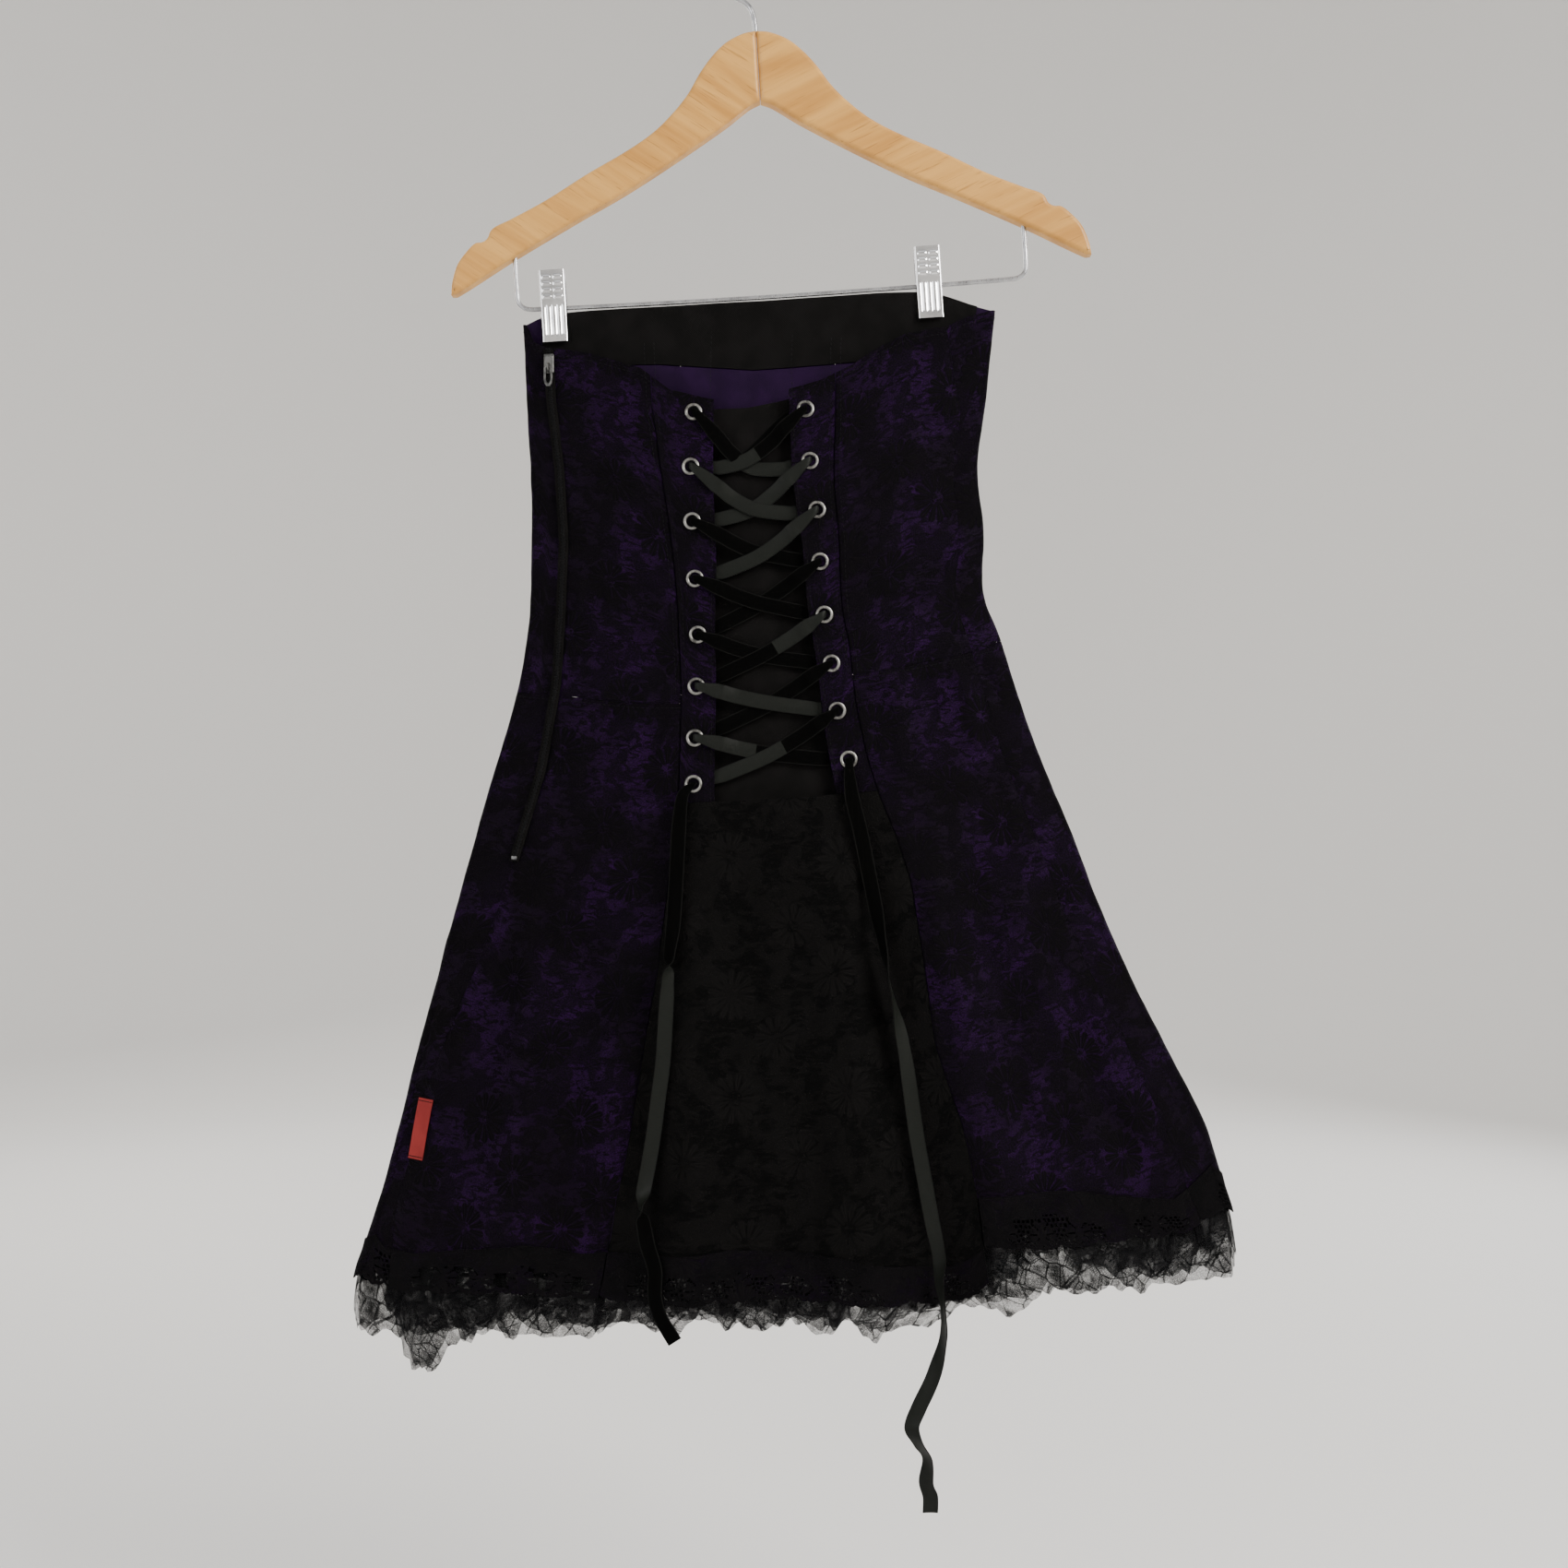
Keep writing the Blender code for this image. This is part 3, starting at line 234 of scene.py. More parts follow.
# Eyelets, from the top: side, x, z
EYELETS = {
    "left": (
        (-39, -334), (-41, -372), (-40, -410), (-38, -450), (-36, -489), (-37, -525), (-38, -561), (-39, -593),
    ),
    "right": (
        (39, -332), (42, -368), (47, -402), (49, -438), (52, -475), (57, -509), (61, -542), (69, -576),
    ),
}

# Free ends of the ribbon: x and z that the eye sees, width, and turn about the ribbon's length in degrees
Bend = namedtuple("Bend", "x z width turn")
TAIL_LEFT = (
    Bend(-43, -597, 6, 0), Bend(-46, -604, 8, 0), Bend(-48, -625, 10, 0), Bend(-49, -650, 10, 8),
    Bend(-51, -689, 10, 12), Bend(-53, -712, 10, 40), Bend(-54, -728, 10, 140), Bend(-56, -755, 10, 170),
    Bend(-58, -786, 10, 180), Bend(-61, -812, 10, 175), Bend(-65, -842, 10, 180), Bend(-70, -872, 10, 190),
    Bend(-71, -886, 10, 250), Bend(-70, -898, 10, 330), Bend(-68, -914, 10, 360), Bend(-66, -932, 10, 372),
    Bend(-66, -950, 10, 378), Bend(-62, -965, 10, 378), Bend(-52, -982, 10, 372),
)
TAIL_RIGHT = (
    Bend(69, -582, 6, 0), Bend(69, -590, 8, 0), Bend(71, -605, 10, 0), Bend(76, -625, 10, 0),
    Bend(81, -650, 10, 0), Bend(86, -676, 10, 20), Bend(91, -705, 10, 60), Bend(96, -734, 10, 95),
    Bend(105, -773, 10, 150), Bend(110, -805, 10, 175), Bend(114, -837, 10, 180), Bend(119, -866, 10, 180),
    Bend(124, -895, 10, 190), Bend(129, -920, 10, 215), Bend(132, -940, 10, 240), Bend(135, -960, 10, 258),
    Bend(135, -980, 10, 250), Bend(128, -1006, 10, 215), Bend(118, -1028, 10, 190), Bend(113, -1042, 10, 200),
    Bend(118, -1054, 10, 230), Bend(124, -1064, 10, 235), Bend(123, -1080, 10, 205), Bend(126, -1090, 10, 190),
    Bend(126, -1101, 10, 180),
)

# Below this height a tail hangs free of the skirt
TAIL_FREE = -930.0
TAIL_STAND = 6.2

# One crossing of the ribbon: how far it stands out of the cloth at each step, and its width there
EYELET_WIDTH = 4.6
OVER_PANEL = -2.9
UNDER_STRAND = -4.6

# Slack loop of ribbon between the two top eyelets: x, z, lift out of the cloth, width
SLACK_LOOP = (
    (-30, -340, -3.4, 5.0), (-24, -346, -5.0, 4.5), (-15, -356, -6.2, 4.5), (-9, -361.5, -6.2, 4.5),
    (-4, -362.5, -6.2, 4.5), (2, -358, -6.2, 4.5), (11, -349, -6.2, 4.5), (20, -340, -6.2, 4.5),
    (27, -335, -5.0, 5.0), (34, -332, -3.4, 5.0),
)

# Zip and label
ZIP_TOP = -290.5
ZIP_FOOT = -647.0
ZIP_LIFT = 1.6
ZIP_TAPE_WIDTH = 7.0
ZIP_TAPE_WALL = 0.8
LABEL_LINE = ((-223, -812), (-231, -854))
LABEL_WIDTH = 11.0
LABEL_WALL = 0.6
LABEL_LIFT = 1.6

# Hanger, upright, before it leans. Half of the wooden yoke, from the seam over the top to the tip
ARM_OUTLINE = (
    (0.15, -118.6), (0.15, -70.0), (9, -71.2), (21.5, -76.8), (32, -86), (41, -97), (49.5, -110),
    (60, -122), (76, -136), (96, -148), (123, -161.5), (153, -178), (179, -190), (189, -194),
    (193, -197), (195.5, -202), (199, -204.2), (204, -204.8), (210, -209.8), (217.5, -219),
    (221.8, -231), (223, -239.5), (219, -239.3), (178, -216.6), (130, -192), (98, -176.2),
    (64, -157.2), (26, -134.4), (8, -122),
)
BAR_X = 177.5
HOOK_STEM = ((0, -94), (0, -72), (-0.4, -63), (-1.4, -56.5), (-3.4, -51.4), (-7.0, -47.2))
BAR_HALF = (
    (BAR_X, -207.5), (BAR_X, -243), (176.3, -248), (172.5, -251.2), (166, -252.2), (90, -253.5), (0, -254),
)
CLIP_FRONT = (
    (-2.7, -226.5), (-4.3, -226.5), (-4.7, -240), (-4.4, -252), (-4.6, -264), (-5.4, -273), (-5.9, -277),
    (-3.6, -277), (-2.5, -273), (-2.4, -262), (-2.4, -252), (-3.0, -240),
)
CLIP_BACK = (
    (2.2, -228), (2.4, -240), (1.95, -252), (1.9, -258), (1.6, -264), (1.6, -273), (2.4, -277), (4.4, -277),
    (3.6, -272), (3.5, -262), (3.6, -252), (4.0, -240), (3.8, -228),
)


# Cloth surface

def read_line(points, at):
    """Second value of sorted points, where the first value is at."""
    if at <= points[0][0]:
        return points[0][1]
    for (a, value_a), (b, value_b) in zip(points, points[1:]):
        if at <= b:
            return value_a + (value_b - value_a) * (at - a) / (b - a)
    return points[-1][1]


def between(a, b, c, d, s):
    """A smooth value s of the way from b to c."""
    return b + 0.5 * s * (c - a + s * (2 * a - 5 * b + 4 * c - d + s * (3 * (b - c) + d - a)))


def row_at(v):
    last = len(ROWS) - 1
    k = min(max(int(v), 0), last - 1)
    near = (ROWS[max(k - 1, 0)], ROWS[k], ROWS[k + 1], ROWS[min(k + 2, last)])
    return Row(*(between(*values, v - k) for values in zip(*near)))


def folds_at(folds, place, v):
    grown = max(0.0, (v - WAIST_ROW) / (HEM_ROW - WAIST_ROW)) ** 1.3
    total = 0.0
    for fold in folds:
        total += fold.height * math.exp(-((place - fold.place) / fold.width) ** 2)
    return grown * total * min(1.0, 8 * place * (1 - place))


def in_cap(t):
    return 1.0 < t % ROUND < FRONT_START or t % ROUND > FRONT_END


def on_front(place):
    return FRONT_END - place


def cloth(t, v):
    """Middle of the wall. t runs round the dress: 0 to 1 along the back layer from left to right,
    CAP round the right fold, 1 back along the front layer, and CAP round the left fold."""
    row = row_at(v)
    t %= ROUND
    if in_cap(t):
        at_right = t < FRONT_START
        turn = math.pi * (t - 1.0 if at_right else t - FRONT_END) / CAP
        corner_x = row.right_x - row.fold if at_right else row.left_x + row.fold
        corner_z = row.right_z if at_right else row.left_z
        way = 1.0 if at_right else -1.0
        return Vector((
            corner_x + way * row.fold * math.sin(turn),
            -row.fold - way * row.fold * math.cos(turn),
            corner_z,
        ))
    on_back = t <= 1.0
    place = t if on_back else FRONT_END - t
    swell = math.sin(math.pi * place) ** 0.85 if 0.0 < place < 1.0 else 0.0
    x = row.left_x + row.fold + (row.right_x - row.left_x - 2 * row.fold) * place
    z = row.left_z + (row.right_z - row.left_z) * place - row.sag * swell
    if on_back:
        y = -2 * row.fold - row.back * swell - folds_at(BACK_FOLDS, place, v)
    else:
        y = row.front * swell + folds_at(FRONT_FOLDS, place, v)
    return Vector((x, y, z))


def outward(t, v):
    """The way out of the cloth."""
    step = 0.004
    along = cloth(t + step, v) - cloth(t - step, v)
    down = cloth(t, min(v + 0.05, LAST_ROW)) - cloth(t, max(v - 0.05, 0.0))
    return down.cross(along).normalized()


def lifted(t, v, lift):
    return cloth(t, v) + outward(t, v) * lift


def seen_at(point):
    """Where the eye sees a point, in the plane y = 0."""
    nearer = EYE_DISTANCE / (EYE_DISTANCE + point.y)
    return EYE_X + (point.x - EYE_X) * nearer, EYE_Z + (point.z - EYE_Z) * nearer


def place_of(x, z, front=False):
    """The t and v where the eye sees x, z on the back layer, or on the front layer."""
    place = 0.5
    v = 6.0
    for _ in range(40):
        seen_x, seen_z = seen_at(cloth(on_front(place) if front else place, v))
        place += 0.8 * (x - seen_x) / 400.0
        v -= 0.7 * (z - seen_z) / 60.0
        place = min(max(place, 0.0), 1.0)
        v = min(max(v, 0.0), float(LAST_ROW))
    return (on_front(place) if front else place), v


def side_line(points):
    """A line that runs down the back: t for each v."""
    places = sorted((v, t) for t, v in (place_of(x, z) for x, z in points))
    return lambda v: read_line(places, v)


def level_line(points, front=False):
    """A line that runs across one layer: v for each t."""
    places = sorted(place_of(x, z, front) for x, z in points)
    return lambda t: read_line(places, t)


def around(back, front):
    """A line that runs right round the dress, from one for each layer."""
    def value(t):
        t %= ROUND
        if t <= 1.0:
            return back(t)
        if t < FRONT_START:
            return back(1.0) + (front(FRONT_START) - back(1.0)) * (t - 1.0) / CAP
        if t <= FRONT_END:
            return front(t)
        return front(FRONT_END) + (back(0.0) - front(FRONT_END)) * (t - FRONT_END) / CAP
    return value


def level(v):
    return lambda t: v


def moved_down(line, distance):
    """A level line moved down the cloth by millimetres."""
    def value(t):
        v = line(t)
        per_row = (cloth(t, v + 0.2) - cloth(t, v - 0.2)).length / 0.4
        return v + distance / per_row
    return value


def moved_along(line, distance):
    """A side line moved round the cloth by millimetres."""
    def value(v):
        t = line(v)
        per_turn = (cloth(t + 0.01, v) - cloth(t - 0.01, v)).length / 0.02
        return t + distance / per_turn
    return value


def turn_on(line):
    """A side line of the back's left half, counted on past the left fold."""
    return lambda v: line(v) + ROUND


def sampled(line, low, high, count=160):
    """The same line read from evenly spaced samples, which is quicker."""
    values = [line(low + (high - low) * k / count) for k in range(count + 1)]

    def value(at):
        place = min(max((at - low) / (high - low), 0.0), 1.0) * count
        k = min(int(place), count - 1)
        return values[k] + (values[k + 1] - values[k]) * (place - k)
    return value


# Creases listed as x and z of both ends, half width and height; a low one is a trough

Crease = namedtuple("Crease", "x z to_x to_z width height")
BACK_CREASES = (
    Crease(-118, -335, -62, -352, 5.0, 0.9), Crease(-108, -383, -60, -377, 4.5, -0.8),
    Crease(-120, -420, -66, -437, 6.0, 1.1), Crease(-104, -462, -60, -458, 4.5, -0.7),
    Crease(-118, -500, -64, -489, 5.5, 1.0), Crease(-112, -521, -74, -516, 4.0, -0.8),
    Crease(-140, -352, -122, -360, 3.5, 1.2), Crease(-138, -392, -118, -398, 4.0, -1.1),
    Crease(-136, -428, -116, -440, 3.5, 1.2), Crease(-138, -470, -117, -474, 4.0, -1.0),
    Crease(-142, -509, -119, -517, 3.5, 1.1), Crease(-150, -566, -126, -574, 4.0, -1.2),
    Crease(-158, -603, -133, -612, 4.0, 1.2), Crease(-163, -633, -140, -640, 4.5, -1.1),
    Crease(70, -346, 128, -322, 5.5, 0.9), Crease(72, -398, 118, -392, 5.0, -0.8),
    Crease(78, -430, 132, -414, 6.0, 1.1), Crease(80, -462, 122, -470, 4.5, -0.7),
    Crease(88, -492, 140, -478, 5.5, 0.9), Crease(96, -511, 138, -503, 4.0, -0.8),
    Crease(150, -420, 132, -452, 4.5, 1.2), Crease(152, -355, 140, -392, 5.0, -0.9),
    Crease(-116, -538, -112, -596, 6.0, 1.4), Crease(-96, -540, -101, -575, 5.0, -1.2),
    Crease(-76, -541, -79, -610, 6.0, 1.3), Crease(-62, -541, -64, -580, 4.0, -1.0),
    Crease(96, -519, 106, -580, 6.0, 1.4), Crease(118, -514, 126, -556, 5.0, -1.3),
    Crease(140, -509, 158, -572, 6.5, 1.5), Crease(160, -505, 172, -540, 4.5, -1.1),
    Crease(-196, -720, -236, -905, 12.0, 3.0), Crease(-166, -700, -196, -930, 10.0, -2.4),
    Crease(-140, -640, -158, -925, 11.0, 2.8), Crease(-106, -668, -128, -930, 9.0, -2.6),
    Crease(-84, -720, -104, -934, 9.0, 2.6), Crease(-58, -700, -74, -940, 8.0, -2.8),
    Crease(-34, -668, -44, -944, 9.0, 2.6), Crease(-8, -640, -14, -900, 8.0, -2.0),
    Crease(14, -650, 20, -944, 9.0, 2.4), Crease(36, -690, 48, -944, 8.0, -2.6),
    Crease(62, -640, 84, -940, 9.0, 2.6), Crease(84, -655, 112, -935, 8.0, -2.6),
    Crease(122, -650, 168, -905, 11.0, 2.6), Crease(150, -640, 205, -895, 10.0, -2.4),
    Crease(178, -660, 246, -880, 12.0, 2.8), Crease(206, -720, 280, -888, 10.0, -2.2),
    Crease(-215, -850, -176, -872, 9.0, 1.3), Crease(-120, -800, -90, -822, 8.0, -1.1),
    Crease(186, -812, 232, -800, 9.0, 1.3), Crease(240, -850, 280, -836, 8.0, -1.2),
    Crease(-10, -820, 24, -836, 9.0, 1.1), Crease(-70, -876, -34, -868, 8.0, -1.0),
)
FRONT_CREASES = (
    Crease(-128, -330, -70, -352, 6.0, 1.0), Crease(-60, -402, 12, -415, 7.0, -0.9),
    Crease(24, -350, 92, -338, 6.0, 1.0), Crease(60, -430, 126, -412, 7.0, -1.0),
    Crease(-118, -450, -62, -468, 6.0, 1.1), Crease(-40, -492, 30, -500, 6.0, -0.9),
    Crease(70, -488, 132, -476, 5.5, 1.0), Crease(-120, -536, -128, -590, 6.5, 1.5),
    Crease(-90, -540, -96, -580, 5.0, -1.2), Crease(-52, -545, -58, -604, 6.0, 1.4),
    Crease(-16, -548, -18, -590, 5.0, -1.2), Crease(22, -548, 26, -606, 6.0, 1.4),
    Crease(60, -540, 68, -582, 5.0, -1.1), Crease(98, -530, 112, -590, 6.0, 1.4),
    Crease(134, -524, 150, -566, 5.0, -1.1), Crease(-190, -700, -228, -920, 12.0, 3.0),
    Crease(-150, -690, -178, -935, 10.0, -2.6), Crease(-112, -660, -134, -936, 11.0, 2.8),
    Crease(-70, -690, -86, -940, 10.0, -2.6), Crease(-30, -650, -38, -944, 11.0, 2.8),
    Crease(16, -670, 20, -944, 9.0, -2.6), Crease(60, -650, 82, -940, 11.0, 2.8),
    Crease(106, -680, 142, -930, 10.0, -2.6), Crease(146, -650, 200, -915, 11.0, 2.9),
    Crease(188, -700, 258, -900, 10.0, -2.4), Crease(-60, -820, -10, -838, 10.0, 1.2),
    Crease(80, -800, 130, -780, 10.0, -1.2), Crease(-180, -842, -140, -860, 9.0, 1.2),
)


def crease_at(creases, x, z):
    """Height of the creases at a place, each soft at its sides and at both ends."""
    x += 3.0 * math.sin(z * 0.061)
    z += 2.0 * math.sin(x * 0.083)
    total = 0.0
    for crease in creases:
        reach = 2.6 * crease.width
        if not min(crease.x, crease.to_x) - reach < x < max(crease.x, crease.to_x) + reach:
            continue
        if not min(crease.z, crease.to_z) - reach < z < max(crease.z, crease.to_z) + reach:
            continue
        run_x, run_z = crease.to_x - crease.x, crease.to_z - crease.z
        length = math.hypot(run_x, run_z)
        along = ((x - crease.x) * run_x + (z - crease.z) * run_z) / length
        off = ((x - crease.x) * run_z - (z - crease.z) * run_x) / length
        end = min(1.0, max(0.0, (along + crease.width) / (3.0 * crease.width)))
        end *= min(1.0, max(0.0, (length + crease.width - along) / (3.0 * crease.width)))
        end = end * end * (3.0 - 2.0 * end)
        total += crease.height * end * math.exp(-(off / crease.width) ** 2)
    return total


def relief(t, v):
    """How far the sewn cloth stands out of the smooth form."""
    spot = cloth(t, v)
    creases = BACK_CREASES if t % ROUND <= 1.0 else FRONT_CREASES
    uneven = 0.55 * noise.noise(spot * 0.028) + 0.3 * noise.noise(spot * 0.085)
    return crease_at(creases, spot.x, spot.z) + uneven


# Making and finishing pieces

def deselect():
    bpy.ops.object.select_all(action="DESELECT")


def newest(name):
    obj = bpy.context.active_object
    obj.name = name
    obj.data.name = name
    return obj


def pick(obj):
    deselect()
    obj.select_set(True)
    bpy.context.view_layer.objects.active = obj


def settle(obj):
    """Apply the modifiers and the place of a finished piece."""
    pick(obj)
    if obj.type != "MESH":
        bpy.ops.object.convert(target="MESH")
        obj = bpy.context.active_object
    for modifier in list(obj.modifiers):
        bpy.ops.object.modifier_apply(modifier=modifier.name)
    bpy.ops.object.transform_apply(location=True, rotation=True, scale=True)
    return obj


def soften(obj, degrees=50):
    pick(obj)
    bpy.ops.object.shade_smooth_by_angle(angle=math.radians(degrees))


def fit(obj, nodes=(), body=BODY):
    """Hang a finished piece on its body, in place of the solids it stands for."""
    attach(obj, body)
    if nodes:
        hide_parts(*nodes)
    return obj


def dress_in(obj, *materials):
    obj.data.materials.clear()
    for mat in materials:
        obj.data.materials.append(mat)


def woven(name, spots, uvs):
    """A grid whose points are spots[row][column] in millimetres, with its map in metres."""
    rows, columns = len(spots) - 1, len(spots[0]) - 1
    deselect()
    bpy.ops.mesh.primitive_grid_add(x_subdivisions=columns, y_subdivisions=rows, size=2.0)
    obj = newest(name)
    places = [spot * MM for row in reversed(spots) for spot in row]
    flat = [uv for row in reversed(uvs) for uv in row]
    obj.data.vertices.foreach_set("co", [part for place in places for part in place])
    layer = obj.data.uv_layers.active.data
    for loop in obj.data.loops:
        layer[loop.index].uv = flat[loop.vertex_index]
    obj.data.update()
    return obj


def flat_map(spots):
    """Each point's place on the cut cloth, in metres, measured along its threads from the top's middle."""
    middle = len(spots[0]) // 2
    uvs = []
    down = [0.0] * len(spots[0])
    for r, row in enumerate(spots):
        across = [0.0]
        for a, b in zip(row, row[1:]):
            across.append(across[-1] + (b - a).length)
        if r:
            down = [so_far + (row[k] - spots[r - 1][k]).length for k, so_far in enumerate(down)]
        uvs.append([((across[k] - across[middle]) * MM, -down[k] * MM) for k in range(len(row))])
    return uvs


def flat_size(spots):
    """Width, length and area of the cut, in metres."""
    widths = [sum((b - a).length for a, b in zip(row, row[1:])) for row in spots]
    columns = list(zip(*spots))
    lengths = [sum((b - a).length for a, b in zip(column, column[1:])) for column in columns]
    area = 0.0
    for row, below in zip(spots, spots[1:]):
        for k in range(len(row) - 1):
            area += ((row[k + 1] - row[k]).cross(below[k] - row[k])).length * 0.5
            area += ((below[k + 1] - below[k]).cross(below[k + 1] - row[k + 1])).length * 0.5
    width, length = max(widths) * MM, max(lengths) * MM
    return (round(width, 4), round(length, 4)), min(area * MM * MM, width * length)


def thicken(obj, wall, inner=False):
    shell = obj.modifiers.new("wall", "SOLIDIFY")
    shell.thickness = wall * MM
    shell.offset = 0.0
    shell.use_even_offset = True
    if inner:
        shell.material_offset = 1


def panel_spots(left, right, top, bottom, cell, lift, drop=None):
    """Points of a panel between two side lines and two level lines, about a cell apart."""
    left = sampled(moved_along(left, 0.5 * SEAM_GAP), 0.0, LAST_ROW)
    right = sampled(moved_along(right, -0.5 * SEAM_GAP), 0.0, LAST_ROW)
    top = moved_down(top, 0.5 * SEAM_GAP)
    bottom = moved_down(bottom, -0.5 * SEAM_GAP)

    def meet(line, a):
        v = WAIST_ROW
        for _ in range(5):
            v = line(left(v) + (right(v) - left(v)) * a)
        return v

    wide, high = 0.0, 0.0
    for k in range(9):
        v = meet(top, 0.5) + (meet(bottom, 0.5) - meet(top, 0.5)) * k / 8
        points = [cloth(left(v) + (right(v) - left(v)) * j / 24, v) for j in range(25)]
        wide = max(wide, sum((b - a).length for a, b in zip(points, points[1:])))
    for a in (0.02, 0.5, 0.98):
        v_top, v_low = meet(top, a), meet(bottom, a)
        t = left(0.5 * (v_top + v_low)) * (1 - a) + right(0.5 * (v_top + v_low)) * a
        points = [cloth(t, v_top + (v_low - v_top) * j / 12) for j in range(13)]
        high = max(high, sum((q - p).length for p, q in zip(points, points[1:])))
    across, down = max(3, round(wide / cell)), max(3, round(high / cell))
    ends = [(meet(top, k / across), meet(bottom, k / across)) for k in range(across + 1)]
    spots = []
    for j in range(down + 1):
        b = j / down
        row = []
        for k, (v_top, v_low) in enumerate(ends):
            a = k / across
            v = v_top + (v_low - v_top) * b
            t = left(v) + (right(v) - left(v)) * a
            if drop:
                v = moved_down(level(v), drop(a, b))(t)
            row.append(lifted(t, v, lift(a, b, t, v)))
        spots.append(row)
    return spots


def sewn(a, b, t, v):
    """Lift of a sewn panel: its creases, a little pucker along its side seams and a shallow dip right at them."""
    edge = min(a, 1.0 - a)
    spot = cloth(t, v)
    pucker = 0.35 * math.sin(spot.z * 0.62) * math.exp(-(edge / 0.05) ** 2)
    dip = -0.35 * math.exp(-(edge / 0.018) ** 2)
    return relief(t, v) + pucker + dip


def panel(name, nodes, materials, left, right, top, bottom, cell, wall=WALL, lift=sewn, drop=None):
    spots = panel_spots(left, right, top, bottom, cell, lift, drop)
    obj = woven(name, spots, flat_map(spots))
    dress_in(obj, *materials)
    thicken(obj, wall, inner=len(materials) > 1)
    settle(obj)
    soften(obj, 60)
    fit(obj, nodes)
    return obj


# Finishes

def feed(tree, socket, value):
    if isinstance(value, bpy.types.NodeSocket):
        tree.links.new(value, socket)
    else:
        socket.default_value = value


def calc(tree, operation, *values):
    step = tree.nodes.new("ShaderNodeMath")
    step.operation = operation
    for socket, value in zip(step.inputs, values):
        feed(tree, socket, value)
    return step.outputs[0]


def move(tree, operation, *values):
    step = tree.nodes.new("ShaderNodeVectorMath")
    step.operation = operation
    for socket, value in zip(step.inputs, values):
        feed(tree, socket, value)
    return step.outputs["Value" if operation == "LENGTH" else "Vector"]


def soft_step(tree, value, low, high, to_low=0.0, to_high=1.0):
    step = tree.nodes.new("ShaderNodeMapRange")
    step.interpolation_type = "SMOOTHSTEP"
    for socket, number in zip(step.inputs, (value, low, high, to_low, to_high)):
        feed(tree, socket, number)
    return step.outputs["Result"]


def blend_colour(tree, share, first, second):
    step = tree.nodes.new("ShaderNodeMix")
    step.data_type = "RGBA"
    feed(tree, step.inputs[0], share)
    feed(tree, step.inputs[6], first)
    feed(tree, step.inputs[7], second)
    return step.outputs[2]


def clouds(tree, spot, scale, detail=3.0, warp=0.0):
    step = tree.nodes.new("ShaderNodeTexNoise")
    feed(tree, step.inputs["Vector"], spot)
    step.inputs["Scale"].default_value = scale
    step.inputs["Detail"].default_value = detail
    step.inputs["Distortion"].default_value = warp
    return step.outputs["Fac"]


def cells(tree, spot, scale, feature="F1"):
    step = tree.nodes.new("ShaderNodeTexVoronoi")
    step.feature = feature
    feed(tree, step.inputs["Vector"], spot)
    step.inputs["Scale"].default_value = scale
    return step.outputs["Distance"]


def on_map(tree, scale=1.0):
    spot = tree.nodes.new("ShaderNodeTexCoord").outputs["UV"]
    return move(tree, "MULTIPLY", spot, (scale, scale, scale))


def on_piece(tree, turn=(0.0, 0.0, 0.0), scale=(1.0, 1.0, 1.0)):
    place = tree.nodes.new("ShaderNodeMapping")
    tree.links.new(tree.nodes.new("ShaderNodeTexCoord").outputs["Object"], place.inputs["Vector"])
    place.inputs["Rotation"].default_value = turn
    place.inputs["Scale"].default_value = scale
    return place.outputs["Vector"]


def finish(name, roughness, metallic=0.0, **settings):
    mat = bpy.data.materials.new(name)
    mat.use_nodes = True
    shader = mat.node_tree.nodes["Principled BSDF"]
    shader.inputs["Roughness"].default_value = roughness
    shader.inputs["Metallic"].default_value = metallic
    for key, value in settings.items():
        shader.inputs[key.replace("_", " ")].default_value = value
    return mat, mat.node_tree, shader


def emboss(tree, shader, height, distance, strength=1.0):
    bump = tree.nodes.new("ShaderNodeBump")
    bump.inputs["Strength"].default_value = strength
    bump.inputs["Distance"].default_value = distance * MM
    tree.links.new(height, bump.inputs["Height"])
    tree.links.new(bump.outputs["Normal"], shader.inputs["Normal"])


# Repeat of the lace and its two sorts of daisy: place in the repeat, petals, reach
LACE_REPEAT = (74.0, 82.0)
DAISIES = (((0.0, 0.0), 14.0, 17.0), ((37.0, 41.0), 12.0, 15.0))


